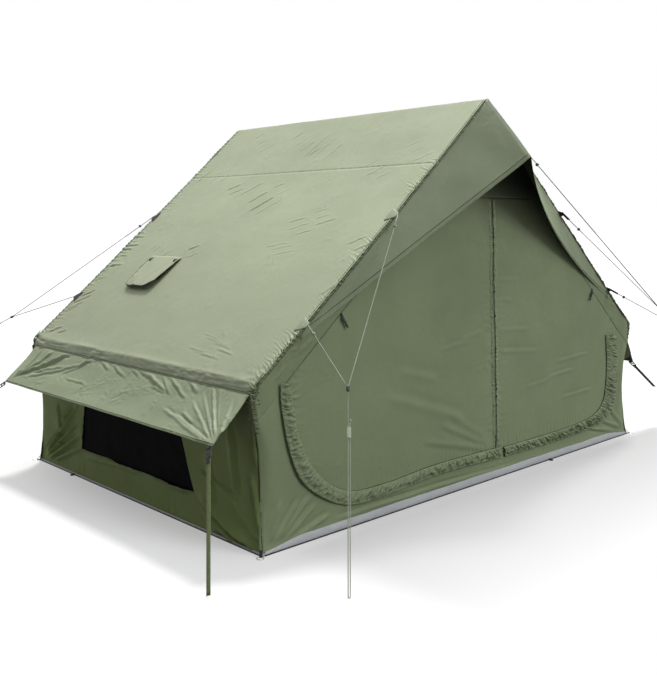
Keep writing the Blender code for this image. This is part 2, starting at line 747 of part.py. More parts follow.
def awning_strap(side, sign, end, end_sign):
    """The corner's buckle and, where one is fitted, the webbing strap that it holds."""
    hinge, run = awning_frame(side, sign)
    corner = hinge + run * AWNING_DEPTH
    corner.y = end_sign * (BACK - AWNING_END_INSET - BUCKLE_WIDTH / 2)
    reach, ahead = STRAP_FOOT[side, end]
    foot = Vector((sign * (EAVE_HALF + reach), end_sign * (BACK + ahead), 0))
    down = (foot - corner).normalized()
    width = (Vector((0, 1, 0)) - down * down.y).normalized()
    out = width.cross(down)
    seat = width * math.copysign(BUCKLE_WIDTH / 2, width.dot(run))
    seat += out * math.copysign(BUCKLE_THICK / 2, out.dot(run))
    base = corner + run * BUCKLE_SEAT + Vector((seat.x, 0, seat.z))
    slot = (BUCKLE_LENGTH - 3 * BUCKLE_BAR) / 2

    def plate(low, high, half, thick):
        def place(a, b, depth):
            return base + down * a + width * b + out * depth

        outline = [(low, -half), (high, -half), (high, half), (low, half)]
        return prism(outline, -thick / 2, thick / 2, place)

    frame = plate(0, BUCKLE_LENGTH, BUCKLE_WIDTH / 2, BUCKLE_THICK)
    buckle = finish(frame, f"{end}_{side}_awning_buckle", "black_plastic")
    for index in range(2):
        low = BUCKLE_BAR + index * (slot + BUCKLE_BAR)
        hole = plate(low, low + slot, BUCKLE_WIDTH / 2 - BUCKLE_BAR, BUCKLE_THICK + OVERRUN)
        boolean(buckle, cutter(f"{end}_{side}_slot_{index}", hole))
    set_origin(buckle, corner)
    if (side, end) not in STRAP_END_SHARE:
        return
    stop = (foot - base).length * STRAP_END_SHARE[side, end]
    if STRAP_END_SHARE[side, end] == 1:
        stop -= STRAP_WIDTH / 2
    webbing = plate(BUCKLE_LENGTH + GAP, stop, STRAP_WIDTH / 2, STRAP_THICK)
    colour = "olive_webbing" if (side, end) == ("left", "front") else "dark_webbing"
    strap = finish(webbing, f"{end}_{side}_awning_strap", colour)
    set_origin(strap, corner)


def visor():
    """The hood over the door: two ruled halves meeting on the ridge line."""
    seam_inset = 2 * SHEET + 2 * GAP
    y = FRONT - GAP
    seam_end = Vector((VISOR_END_X, y, roof_z(VISOR_END_X, seam_inset)))
    tip = Vector((0, FRONT - VISOR_REACH, VISOR_TIP_HEIGHT))
    belly_x = VISOR_END_X * VISOR_BELLY_SHARE
    belly = Vector((belly_x, FRONT - VISOR_BELLY_REACH, roof_z(belly_x, 0) - VISOR_BELLY_DROP))
    low_end = seam_end - Vector((0, 0, VISOR_END_HEM))
    seam_start = Vector((0, y, roof_z(0, seam_inset)))
    bm = bmesh.new()
    columns = []
    for index in range(-VISOR_COLUMNS, VISOR_COLUMNS + 1):
        share = abs(index) / VISOR_COLUMNS
        upper = seam_start.lerp(seam_end, share)
        rest = 1 - share
        lower = tip * rest ** 2 + belly * 2 * rest * share + low_end * share ** 2
        pair = []
        for point in (upper, lower):
            flipped = Vector((math.copysign(1, index) * point.x, point.y, point.z))
            pair.append(bm.verts.new(flipped))
        columns.append(pair)
    for first, second in zip(columns, columns[1:]):
        bm.faces.new((first[0], first[1], second[1], second[0]))
    for face in bm.faces:
        face.normal_update()
        if face.normal.y > 0:
            face.normal_flip()
    mesh = bpy.data.meshes.new("visor")
    bm.to_mesh(mesh)
    bm.free()
    hood = add_object("visor", mesh, "awning_fabric")
    thicken = hood.modifiers.new("thickness", "SOLIDIFY")
    thicken.thickness = SHEET
    thicken.offset = 1.0
    thicken.use_even_offset = False


def arch_corners(foot):
    """The arch's centre line as corner points, before its bends are rounded."""
    corner_x, corner_z = eave_corner(EAVE_ROUND)
    left = [Vector((-wall_x(foot, EAVE_ROUND), 0, foot)), Vector((-corner_x, 0, corner_z))]
    right = [Vector((-point.x, 0, point.z)) for point in reversed(left)]
    return left + [Vector((0, 0, roof_z(0, EAVE_ROUND)))] + right


def arch_path(foot, y):
    """The bent centre line of an arch standing at y."""
    bends = (EAVE_BEND, APEX_BEND, EAVE_BEND)
    steps = (EAVE_BEND_STEPS, APEX_BEND_STEPS, EAVE_BEND_STEPS)
    path = rounded_path(arch_corners(foot), bends, steps)
    return [Vector((point.x, y, point.z)) for point in path]


def apex_height():
    """Height of the arch's centre line under the ridge, after rounding."""
    return max(point.z for point in arch_path(FLOOR_TOP, 0))


def arch(end, end_sign, valve_cut):
    """An inflated arch: the sewn sleeve and the bladder inside it."""
    y = end_sign * (BACK - INNER - BEAM_RADIUS)
    upright = Vector((0, 1, 0))
    floor = Vector((0, 0, 1))
    hollow = BEAM_RADIUS - SLEEVE_WALL
    bm = tube_bmesh(arch_path(FLOOR_TOP, y), BEAM_RADIUS, BEAM_SIDES, upright, hollow, floor)
    sleeve = finish(bm, f"{end}_arch_sleeve", "sleeve_fabric", smooth=True)
    foot = FLOOR_TOP + BLADDER_RECESS
    bm = tube_bmesh(arch_path(foot, y), hollow - GAP, BEAM_SIDES, upright, 0, floor)
    bladder = finish(bm, f"{end}_arch_bladder", "bladder_film", smooth=True)
    for cut in valve_cut:
        boolean(sleeve, cut)
        boolean(bladder, cut)
    bm = tube_bmesh(arch_path(-OVERRUN, y), BEAM_RADIUS + GAP, BEAM_SIDES, upright, 0, floor)
    return cutter(f"{end}_arch_clearance", bm)


def beam(name, x, z, clearances):
    """A level air beam between the arches, its ends saddled over them."""
    reach = BACK - INNER - 2 * BEAM_RADIUS + SADDLE_DEPTH
    upright = Vector((0, 0, 1))
    path = [Vector((x, -reach, z)), Vector((x, reach, z))]
    hollow = BEAM_RADIUS - SLEEVE_WALL
    bm = tube_bmesh(path, BEAM_RADIUS, BEAM_SIDES, upright, hollow)
    sleeve = finish(bm, f"{name}_sleeve", "sleeve_fabric", smooth=True)
    for clearance in clearances:
        boolean(sleeve, clearance)
    inside = BACK - INNER - 2 * BEAM_RADIUS - BLADDER_RECESS
    path = [Vector((x, -inside, z)), Vector((x, inside, z))]
    bm = tube_bmesh(path, hollow - GAP, BEAM_SIDES, upright)
    finish(bm, f"{name}_bladder", "bladder_film", smooth=True)


def valve(name, sign):
    """A screw valve on a rear leg's inner side; returns the cutter for its seat."""
    y = BACK - INNER - BEAM_RADIUS
    axis_x = wall_x(VALVE_HEIGHT, EAVE_ROUND)
    face = axis_x - BEAM_RADIUS
    bottom = axis_x - BEAM_RADIUS + VALVE_POCKET

    def bar(near, far, radius, title, colour=None):
        ends = [(sign * x, y, VALVE_HEIGHT) for x in (near, far)]
        bm = rod_bmesh(*ends, radius, VALVE_SIDES)
        if colour is None:
            return cutter(title, bm)
        obj = finish(bm, title, colour, smooth=True)
        set_origin(obj, ends[0])
        return obj

    bar(bottom - GAP, face - VALVE_STAND, VALVE_RADIUS, name, "black_plastic")
    lid = face - VALVE_STAND - GAP
    bar(lid, lid - CAP_THICK, CAP_RADIUS, f"{name}_cap", "black_plastic")
    return bar(bottom, face - OVERRUN, VALVE_RADIUS + GAP, f"{name}_seat")


def air_frame():
    """The two arches, the three beams between them and the two valves."""
    seats = [valve("inflation_valve", -1), valve("deflation_valve", 1)]
    clearances = [arch("front", -1, []), arch("rear", 1, seats)]
    beam("ridge_beam", 0, apex_height(), clearances)
    corner_x, corner_z = eave_corner(EAVE_ROUND)
    for side, sign in SIDES.items():
        beam(f"{side}_eave_beam", sign * corner_x, corner_z, clearances)


def cord(name, stations, colour):
    """A taut line through hand-chosen stations, as a fine tube with flat ends."""
    points = [Vector(stations[0])]
    for first, second in zip(stations, stations[1:]):
        first = Vector(first)
        second = Vector(second)
        count = max(1, round((second - first).length / CORD_STEP))
        for step in range(count):
            points.append(first.lerp(second, (step + 1) / count))
    curve = bpy.data.curves.new(name, "CURVE")
    curve.dimensions = "3D"
    curve.bevel_depth = CORD_RADIUS
    curve.bevel_resolution = 2
    curve.use_fill_caps = True
    spline = curve.splines.new("POLY")
    spline.points.add(len(points) - 1)
    for knot, point in zip(spline.points, points):
        knot.co = (*point, 1.0)
    add_object(name, curve, colour)


# Guy-line stations, chosen by hand: where each pair of branches meets and where the
# line from there goes. A line held outside the photo ends just past its edge.
JOIN_INSET_FRONT_LEFT = 0.254
JOIN_INSET_REAR_LEFT = 0.067
JOIN_INSET_FRONT_RIGHT = 0.16
JOIN_REACH_FRONT_LEFT = 0.30
JOIN_REACH_REAR_LEFT = 0.425
JOIN_REACH_FRONT_RIGHT = 0.40
JOIN_RAISE_FRONT_LEFT = 0.012
JOIN_RAISE_REAR_LEFT = 0.102
JOIN_RAISE_FRONT_RIGHT = 0.03
GROUND_OUT = 0.013
GROUND_REACH = 0.571
GROUND_RAISE = 0.0102
LINE_END_OUT = 0.056
LINE_END_REACH = 0.057
LINE_END_DROP = 0.04
TIP_LINE_REACH = 0.72
TIP_LINE_DROP = 0.72


def station(side, end, inset, reach, height):
    """A point of a guy line, inset from the eave and beyond the gable."""
    return Vector((SIDES[side] * (EAVE_HALF - inset), ENDS[end] * (BACK + reach), height))


def guy_stations():
    """The joins, the front-left ground loop and the two ends outside the view."""
    left = station("left", "front", JOIN_INSET_FRONT_LEFT, JOIN_REACH_FRONT_LEFT,
                   EAVE_HEIGHT + JOIN_RAISE_FRONT_LEFT)
    ground = station("left", "front", -GROUND_OUT, GROUND_REACH, GROUND_RAISE)
    rear = station("left", "rear", JOIN_INSET_REAR_LEFT, JOIN_REACH_REAR_LEFT,
                   EAVE_HEIGHT + JOIN_RAISE_REAR_LEFT)
    rear_end = rear + Vector((-LINE_END_OUT, LINE_END_REACH, -LINE_END_DROP))
    right = station("right", "front", JOIN_INSET_FRONT_RIGHT, JOIN_REACH_FRONT_RIGHT,
                    EAVE_HEIGHT + JOIN_RAISE_FRONT_RIGHT)
    tip = Vector((0, FRONT - VISOR_REACH, VISOR_TIP_HEIGHT))
    tip_end = tip - Vector((0, TIP_LINE_REACH, TIP_LINE_DROP))
    return left, ground, rear, rear_end, right, tip, tip_end


def tab_end(side, end, x, toward):
    """Where a line towards a point leaves the webbing tab on the roof's edge."""
    tip = Vector((SIDES[side] * x, ENDS[end] * (BACK + TAB_LENGTH), roof_z(x, SHEET / 2)))
    slant = math.sqrt(1 - (toward - tip).normalized().y ** 2)
    return tip + Vector((0, ENDS[end] * (CORD_SEAT + CORD_RADIUS * slant), 0))


def short_branch_end(start, join, through):
    """Stop a branch just short of the line that it is tied to."""
    back = (start - join).normalized()
    angle = back.angle((through - join).normalized())
    reach = CORD_RADIUS + CORD_SEAT + CORD_RADIUS * math.cos(angle)
    return join + back * reach / math.sin(angle)


def guy_lines():
    """Every line that the photo shows, with the front-left one's tensioner."""
    left, ground, rear, rear_end, right, tip, tip_end = guy_stations()
    upper = tab_end("left", "front", TAB_UPPER_X, left)
    lower = tab_end("left", "front", TAB_LOWER_X, left)
    down = (ground - left).normalized()
    aside = down.cross(Vector((0, 1, 0))).normalized() * RETURN_SPACING
    centre = left + down * TENSIONER_ALONG
    stations = [upper, left]
    for step in range(TURN_STEPS + 1):
        angle = math.pi * step / TURN_STEPS
        swing = aside * (1 - math.cos(angle)) / 2 + down * math.sin(angle) * RETURN_SPACING / 2
        stations.append(ground + swing)
    stations.append(centre + aside - down * (TENSIONER_LENGTH / 2 + RETURN_TAIL))
    cord("front_left_guy_long", stations, "pale_cord")
    ends = short_branch_end(lower, left, upper)
    cord("front_left_guy_short", [lower, ends], "pale_cord")
    tensioner(centre, down, aside)
    upper = tab_end("left", "rear", TAB_UPPER_X, rear)
    lower = tab_end("left", "rear", TAB_LOWER_X, rear)
    cord("rear_left_guy_long", [upper, rear, rear_end], "dark_cord")
    ends = short_branch_end(lower, rear, upper)
    cord("rear_left_guy_short", [lower, ends], "dark_cord")
    upper = tab_end("right", "front", TAB_UPPER_X, right)
    lower = tab_end("right", "front", TAB_LOWER_X, right)
    cord("front_right_guy_upper", [upper, right], "dark_cord")
    ends = short_branch_end(lower, right, upper)
    cord("front_right_guy_lower", [lower, ends], "dark_cord")
    start = tip + (tip_end - tip).normalized() * TIP_SEAT
    cord("visor_tip_guy", [start, tip_end], "dark_cord")


def tensioner(centre, down, aside):
    """A slider plate bored for the line and for its return."""
    width = aside.normalized()
    out = down.cross(width)
    middle = centre + aside / 2
    half_length = TENSIONER_LENGTH / 2
    half_width = TENSIONER_WIDTH / 2
    half_thick = TENSIONER_THICK / 2
    chamfer = half_thick

    def place(a, b, depth):
        return middle + width * a + out * b + down * depth

    outline = [(half_width - chamfer, -half_thick), (half_width, 0), (half_width - chamfer, half_thick)]
    outline += [(-a, b) for a, b in reversed(outline)]
    body = prism(outline, -half_length, half_length, place)
    slider = finish(body, "guy_tensioner", "pale_plastic")
    for name, bore in (("line_bore", centre), ("return_bore", centre + aside)):
        reach = down * (half_length + OVERRUN)
        rod = rod_bmesh(bore - reach, bore + reach, TENSIONER_BORE, BORE_SIDES)
        boolean(slider, cutter(name, rod))
    set_origin(slider, centre)


ground_sheet()
rear_wall()
front_gable()
front_surround()
for side_name, side_sign in SIDES.items():
    side_wall(side_name, side_sign)
    roof_half(side_name, side_sign)
    door_leaf(side_name, side_sign)
    awning(side_name, side_sign)
    for end_name, direction in ENDS.items():
        awning_strap(side_name, side_sign, end_name, direction)
zip_slider()
visor()
air_frame()
guy_lines()
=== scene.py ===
"""Looks of the inflatable tent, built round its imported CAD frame.

Metres, in the CAD's own frame: X across the gable, Y from the door end to the back, Z up.
"""
import math

import bpy
import numpy as np
from mathutils import Matrix, Vector


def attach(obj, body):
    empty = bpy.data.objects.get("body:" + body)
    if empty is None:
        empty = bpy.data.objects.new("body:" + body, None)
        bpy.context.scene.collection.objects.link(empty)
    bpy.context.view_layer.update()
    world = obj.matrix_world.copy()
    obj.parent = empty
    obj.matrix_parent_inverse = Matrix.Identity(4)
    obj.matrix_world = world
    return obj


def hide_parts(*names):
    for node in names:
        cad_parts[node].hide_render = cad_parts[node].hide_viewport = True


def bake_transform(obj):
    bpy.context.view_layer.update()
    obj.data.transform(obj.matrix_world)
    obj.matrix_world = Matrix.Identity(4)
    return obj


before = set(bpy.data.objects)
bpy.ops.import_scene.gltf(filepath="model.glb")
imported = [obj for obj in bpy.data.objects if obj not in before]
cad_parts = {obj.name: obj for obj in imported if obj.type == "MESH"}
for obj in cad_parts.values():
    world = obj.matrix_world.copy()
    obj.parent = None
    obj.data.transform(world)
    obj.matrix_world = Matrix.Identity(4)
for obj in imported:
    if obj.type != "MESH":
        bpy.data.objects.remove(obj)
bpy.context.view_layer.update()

# Camera
CAM = Vector((-3.7290, -3.8587, 1.4173))
YAW = 0.7475
TILT = -0.1496
ROLL = -0.0083
FOCAL = 880.24
WIDTH = 657
HEIGHT = 700


def camera_axes():
    """The camera's right, up and forward directions."""
    ahead = Vector((math.sin(YAW) * math.cos(TILT), math.cos(YAW) * math.cos(TILT), math.sin(TILT)))
    right = Vector((math.cos(YAW), -math.sin(YAW), 0))
    up = right.cross(ahead)
    return (
        right * math.cos(ROLL) + up * math.sin(ROLL),
        up * math.cos(ROLL) - right * math.sin(ROLL),
        ahead,
    )


RIGHT, UP, AHEAD = camera_axes()


def make_camera():
    """A camera at the photograph's viewing angle."""
    data = bpy.data.cameras.new("camera")
    data.sensor_fit = "AUTO"
    data.sensor_width = 36.0
    data.lens = data.sensor_width * FOCAL / HEIGHT
    data.clip_start = 0.05
    data.clip_end = 200.0
    obj = bpy.data.objects.new("camera", data)
    bpy.context.scene.collection.objects.link(obj)
    turn = Matrix((RIGHT, UP, -AHEAD)).transposed().to_4x4()
    obj.matrix_world = Matrix.Translation(CAM) @ turn
    bpy.context.scene.camera = obj


def seen_at(a, b, point, normal):
    """Where the photograph's pixel (a, b) meets a plane."""
    ray = RIGHT * (a - WIDTH / 2) - UP * (b - HEIGHT / 2) + AHEAD * FOCAL
    normal = Vector(normal)
    return CAM + ray * ((Vector(point) - CAM).dot(normal) / ray.dot(normal))


make_camera()

# The CAD's sizes
FRONT = -1.0375
BACK = 1.0375
BASE_HALF = 1.51
EAVE_HALF = 1.54
EAVE_Z = 0.72
RIDGE_Z = 2.0
SHEET = 0.002
GAP = 0.0003
BEAM_R = 0.075
EAVE_R = BEAM_R + SHEET + GAP
PITCH = math.atan2(RIDGE_Z - EAVE_Z, EAVE_HALF)
SLOPE = math.tan(PITCH)
LEAN_SLOPE = (EAVE_HALF - BASE_HALF) / EAVE_Z
LEAN = math.atan(LEAN_SLOPE)
RIDGE_R = 0.022
DOOR_HALF = 1.36
DOOR_SEAM_TOP = 1.85
DOOR_HEAD = 1.51
DOOR_SILL = 0.14
DOOR_CORNER = {"left": 0.46, "right": 0.20}
BAND_IN = 0.025
ZIP_TOP_X = 0.047
ZIP_BOTTOM_X = 0.130
VISOR_TIP = Vector((0, FRONT - 0.27, 1.70))
VISOR_END_X = 1.28
AWNING_DEPTH = 0.254
AWNING_DROP = {"left": math.radians(41.5), "right": math.radians(60.0)}
AWNING_HALF = 1.0075
SIDES = {"left": -1, "right": 1}
ENDS = {"front": -1, "rear": 1}


def wall_x(z, inset=0.0):
    """Half-width of the leaning side wall at a height."""
    return BASE_HALF + LEAN_SLOPE * z - inset / math.cos(LEAN)


def roof_z(x, inset=0.0):
    """Height of the roof plane at a half-width."""
    return RIDGE_Z - SLOPE * np.abs(x) - inset / math.cos(PITCH)


def eave_centre(inset):
    """Where the roof plane and the wall's plane cross, both inset alike."""
    reach = BASE_HALF - inset / math.cos(LEAN)
    z = (roof_z(0, inset) - SLOPE * reach) / (1 + SLOPE * LEAN_SLOPE)
    return wall_x(z, inset), z


EAVE_CX, EAVE_CZ = eave_centre(EAVE_R)
SEAM_Z = EAVE_CZ - 0.008
HEM_Z = SEAM_Z + 0.012


# Noise and folds
def lattice(seed):
    """Random unit vectors on a 64 by 64 grid."""
    angles = np.random.default_rng(seed).random((64, 64)) * math.tau
    return np.stack((np.cos(angles), np.sin(angles)), -1)


def noise(x, y, seed):
    """Smooth gradient noise, about -0.7 to 0.7, one feature to a unit."""
    x, y = np.broadcast_arrays(np.asarray(x, float), np.asarray(y, float))
    grid = lattice(seed)
    xi = np.floor(x).astype(int)
    yi = np.floor(y).astype(int)
    xf = x - xi
    yf = y - yi
    u = xf * xf * xf * (xf * (xf * 6 - 15) + 10)
    v = yf * yf * yf * (yf * (yf * 6 - 15) + 10)

    def corner(dx, dy):
        g = grid[(xi + dx) % 64, (yi + dy) % 64]
        return g[..., 0] * (xf - dx) + g[..., 1] * (yf - dy)

    low = corner(0, 0) * (1 - u) + corner(1, 0) * u
    high = corner(0, 1) * (1 - u) + corner(1, 1) * u
    return (low * (1 - v) + high * v) * 1.4


def puckers(along, away, pitch, reach, depth, seed, lean=0.0):
    """Gathers at a sewn edge: narrow folds across it, none at the stitches, gone further in."""
    away = np.maximum(away, 0)
    along = along + lean * away
    length = reach * (0.35 + 1.6 * np.abs(noise(along / (2.3 * pitch), 0.5, seed + 2)))
    fade = np.exp(-away / length) * (1 - np.exp(-away / 0.006))
    phase = along / pitch + 0.8 * noise(along / (3 * pitch), away / (2 * reach), seed)
    ridge = (0.5 + 0.5 * np.cos(math.tau * phase)) ** 2.5
    height = 0.35 + 1.3 * np.abs(noise(along / (1.4 * pitch), 0.2, seed + 1))
    return depth * (ridge * height - 0.25) * fade * 1.6


def crease(a, b, start, end, width, depth):
    """A fold line between two points of a panel, a ridge with a valley beside it."""
    start = np.asarray(start, float)
    run = np.asarray(end, float) - start
    length = float(np.hypot(*run))
    run = run / length
    da = a - start[0]
    db = b - start[1]
    t = (da * run[0] + db * run[1]) / length
    d = (db * run[0] - da * run[1]) / width
    taper = np.clip(np.minimum(t, 1 - t) * 5, 0, 1)
    taper = taper * taper * (3 - 2 * taper)
    return depth * taper * (np.exp(-d * d) - 0.6 * np.exp(-((d - 1.6) ** 2)))


def creases(a, b, table, place, widths, depths):
    """A table's fold lines: two pixels of the photograph, then width and height in mm, scaled."""
    total = 0
    for start, end, width, depth in table:
        total += crease(a, b, place(*start), place(*end), widths * width / 1000, depths * depth / 1000)
    return total


def crumple(a, b, angle, length, width, depth, cover, seed):
    """Short sharp creases along one direction, in patches that cover a share of the cloth."""
    c = math.cos(angle)
    s = math.sin(angle)
    along = a * c + b * s
    across = b * c - a * s
    wander = 0.35 * noise(along / length, across / length, seed + 5)
    wave = noise(along / length, across / width + wander, seed)
    ridge = np.clip(1 - 5.0 * np.abs(wave), 0, 1) ** 1.5
    patch = noise(along / (2.2 * length), across / (1.4 * length), seed + 9)
    mask = np.clip((patch - 0.35 + 0.7 * cover) * 4, 0, 1)
    return depth * ridge * mask


def soft_step(x, low, high):
    """From 0 at low to 1 at high, level at both."""
    t = np.clip((x - low) / (high - low), 0, 1)
    return t * t * (3 - 2 * t)


def graded(low, high, fine, coarse, band, extra=()):
    """Stations from low to high, closer together within a band of each end."""
    points = [low]
    while points[-1] < high - 1e-6:
        near = min(points[-1] - low, high - points[-1])
        step = fine + (coarse - fine) * min(1.0, max(0.0, near / band))
        points.append(points[-1] + step)
    points = low + (np.array(points) - low) * (high - low) / (points[-1] - low)
    for value in extra:
        points[np.argmin(np.abs(points - value))] = value
    return points


# Materials
WEAVE_SCALE = 0.314
CLOTH_PITCH = 0.0016
WEBBING_PITCH = 0.0022
NET_PITCH = 0.003
MIDDLE = (0.3, 0.7)


def shade(rgb, share):
    """A colour made darker or lighter by a share."""
    return tuple(channel * share for channel in rgb)


class Nodes:
    """Helpers that add and link the nodes of one tree."""

    def __init__(self, tree):
        self.tree = tree

    def put(self, target, value):
        """Link an input to another node's output, or set it to a constant."""
        if isinstance(value, bpy.types.NodeSocket):
            self.tree.links.new(value, target)
        else:
            target.default_value = value

    def add(self, kind, inputs=(), **settings):
        node = self.tree.nodes.new("ShaderNode" + kind)
        for key, value in settings.items():
            setattr(node, key, value)
        for key, value in dict(inputs).items():
            self.put(node.inputs[key], value)
        return node

    def ramp(self, value, low, high, start=0.0, end=1.0, kind="LINEAR"):
        limits = {"From Min": low, "From Max": high, "To Min": start, "To Max": end, "Value": value}
        return self.add("MapRange", limits, interpolation_type=kind).outputs["Result"]

    def math(self, operation, first, second):
        return self.add("Math", {0: first, 1: second}, operation=operation).outputs["Value"]

    def mix(self, factor, first, second):
        """Two colours mixed by a factor."""
        first, second = ((*c, 1.0) if isinstance(c, tuple) else c for c in (first, second))
        return self.add("Mix", {0: factor, 6: first, 7: second}, data_type="RGBA").outputs[2]

    def blend(self, factor, low, high):
        """Two numbers mixed by a factor."""
        return self.add("Mix", {0: factor, 2: low, 3: high}).outputs[0]

    def in_view(self):
        """1 on the rays that show the surface itself, 0 on those that carry its light."""
        rays = self.add("LightPath").outputs
        total = rays["Is Camera Ray"]
        for name in ("Is Glossy Ray", "Is Transmission Ray"):
            total = self.math("MAXIMUM", total, rays[name])
        return total


class Look(Nodes):
    """One procedural material in the object's own coordinates."""

    def __init__(self, name):
        self.material = bpy.data.materials.new(name)
        self.material.use_nodes = True
        super().__init__(self.material.node_tree)
        self.shader = self.tree.nodes["Principled BSDF"]
        self.where = self.add("TexCoord").outputs["Object"]

    def noise(self, scale, detail=2.0, stretch=(1, 1, 1), distortion=0.0):
        mapping = self.add("Mapping", {"Scale": stretch, "Vector": self.where})
        values = {"Scale": scale, "Detail": detail, "Distortion": distortion, "Vector": mapping.outputs["Vector"]}
        return self.add("TexNoise", values).outputs["Fac"]

    def bump(self, height, strength, distance, under=None):
        values = {"Strength": strength, "Distance": distance, "Height": height}
        if under is not None:
            values["Normal"] = under
        return self.add("Bump", values).outputs["Normal"]

    def bands(self, scale, direction):
        values = {"Scale": scale, "Vector": self.where}
        return self.add("TexWave", values, wave_type="BANDS", bands_direction=direction).outputs["Fac"]

    def weave(self, pitch):
        """A plain weave's height, from bands along the three axes."""
        total, *others = [self.bands(WEAVE_SCALE / pitch, axis) for axis in "XYZ"]
        for other in others:
            total = self.math("ADD", total, other)
        return total

    def mottle(self, rgb, low, high, scale, detail=2.0, span=MIDDLE):
        """A tone that wanders between two shares of a colour."""
        return self.mix(self.ramp(self.noise(scale, detail), *span), shade(rgb, low), shade(rgb, high))

    def finish(self, colour, rough, normal=None, specular=None):
        values = {"Base Color": colour, "Roughness": rough, "Normal": normal, "Specular IOR Level": specular}
        for key, value in values.items():
            if value is not None:
                self.put(self.shader.inputs[key], value)
        return self.material


def cloth(name, rgb, rough, wrinkle, spread, specular, painted_shades=()):
    """Coated woven polyester: weave, mottling and soft creases, with painted shade as darker tones towards given
    directions.
    """
    look = Look(name)
    tone = look.mottle(rgb, 1 - spread, 1 + spread, 2.2, 3.0, (0.35, 0.65))
    tone = look.mix(look.ramp(look.noise(45.0, 3.0), *MIDDLE, 0.0, 0.35), tone, shade(rgb, 1 - 1.6 * spread))
    # Painted shade: each entry darkens the colour by a share along a direction in the object's space.
    for way, near, far, share in painted_shades:
        place = look.add("VectorMath", {0: look.where, 1: way}, operation="DOT_PRODUCT").outputs["Value"]
        tone = look.mix(look.ramp(place, near, far), tone, shade(rgb, share))
    gloss = look.ramp(look.noise(8.0, 4.0), *MIDDLE, rough - 0.07, rough + 0.07)
    normal = look.bump(look.weave(CLOTH_PITCH), 0.12, 0.0004)
    normal = look.bump(look.noise(7.0, 5.0, distortion=0.8), wrinkle, 0.012, normal)
    normal = look.bump(look.noise(38.0, 3.0, distortion=0.4), wrinkle * 0.5, 0.0025, normal)
    return look.finish(tone, gloss, normal, specular)


def webbing(name, rgb):
    """Ribbed webbing with a fine ladder of yarn across it."""
    look = Look(name)
    normal = look.bump(look.weave(WEBBING_PITCH), 0.5, 0.0008)
    return look.finish(look.mottle(rgb, 0.8, 1.15, 120.0), 0.8, normal)


def braid(name, rgb):
    """Twisted cord: slanting dark and light strands."""
    look = Look(name)
    strands = look.bands(110.0, "DIAGONAL")
    tone = look.mix(strands, shade(rgb, 0.7), shade(rgb, 1.1))
    return look.finish(tone, 0.75, look.bump(strands, 0.5, 0.0008))


def plastic(name, rgb, rough=0.42):
    """Moulded nylon with a fine grain."""
    look = Look(name)
    grain = look.noise(600.0)
    gloss = look.ramp(grain, *MIDDLE, rough - 0.05, rough + 0.1)
    return look.finish(look.mottle(rgb, 0.85, 1.2, 30.0), gloss, look.bump(grain, 0.15, 0.0002))


def steel_look(name):
    """Welded wire with fine scratches along it."""
    look = Look(name)
    look.shader.inputs["Metallic"].default_value = 1.0
    tone = look.mix(look.ramp(look.noise(60.0), *MIDDLE), (0.55, 0.54, 0.52), (0.72, 0.72, 0.70))
    return look.finish(tone, look.ramp(look.noise(400.0, 3.0, (1, 1, 8)), *MIDDLE, 0.18, 0.34))


def net_look(name):
    """Fine black mosquito net."""
    look = Look(name)
    shades = ((0.0012, 0.0015, 0.0012), (0.003, 0.0035, 0.003))
    tone = look.mix(look.ramp(look.noise(14.0, 3.0), *MIDDLE), *shades)
    return look.finish(tone, 0.9, look.bump(look.weave(NET_PITCH), 0.4, 0.0008), 0.05)


# Painted light and shade on the roof: a lighter copy of the wall cloth, darker towards the low rear, and darker on
# the eave band below 0.8 m, where it turns from the light.
ROOF = cloth("roof_cloth", (0.370, 0.422, 0.275), 0.55, 0.22, 0.05, 0.5,
             (((0, -0.16, 1), 1.45, 0.62, 0.70), ((0, 0, 1), 0.825, 0.775, 0.78)))
# Painted shade: the wall cloth darkens towards the top, where the visor shades the door.
WALL = cloth("wall_cloth", (0.255, 0.312, 0.176), 0.66, 0.22, 0.06, 0.3, (((0.25, 0, 1), 1.30, 1.62, 0.45),))
# Painted shade: the side walls get a darker, more saturated copy of the wall cloth, darker still near the front
# end's top under the awning.
SIDE = cloth("side_cloth_painted_shade", (0.225, 0.290, 0.105), 0.66, 0.22, 0.06, 0.25, (((0, -1, 0.35), 0.98, 1.20, 0.42),))
# Painted shade: the gable gets a darker copy of the wall cloth that turns near black towards the top, under the
# visor.
GABLE = cloth("gable_cloth", (0.235, 0.285, 0.160), 0.66, 0.22, 0.06, 0.3, (((0.12, 0, 1), 1.36, 1.62, 0.12),))
# Painted shade: a near-black cloth for the visor's inner face, standing for the shade under it.
PAINTED_UNDERSIDE_SHADE = cloth("visor_underside_painted_shade", (0.030, 0.037, 0.022), 0.8, 0.2, 0.06, 0.1)
AWNING = cloth("awning_cloth", (0.275, 0.325, 0.205), 0.58, 0.3, 0.06, 0.45)
# Painted shade: the visor cloth darkens towards its top by the roof's edge.
VISOR = cloth("visor_cloth", (0.245, 0.296, 0.180), 0.6, 0.22, 0.06, 0.4, (((0, 0, 1), 1.45, 1.95, 0.72),))
SEAM = cloth("seam_cloth", (0.200, 0.245, 0.140), 0.7, 0.2, 0.10, 0.25)
# Near-black lines at the zip, the band's stitching and the corner seams: partly the dark zip and stitching
# themselves, partly painted shade in the grooves at them.
SEAM_AND_GROOVE_SHADE = cloth("seam_and_painted_groove_shade", (0.040, 0.050, 0.028), 0.8, 0.2, 0.10, 0.1)
HEM = cloth("hem_cloth", (0.120, 0.148, 0.082), 0.7, 0.2, 0.10, 0.2)
# Stitch lines whose dark colour is painted shade in the stitch grooves.
STITCH_AND_GROOVE_SHADE = cloth("stitch_line_painted_groove_shade", (0.085, 0.105, 0.060), 0.8, 0.2, 0.10, 0.15)
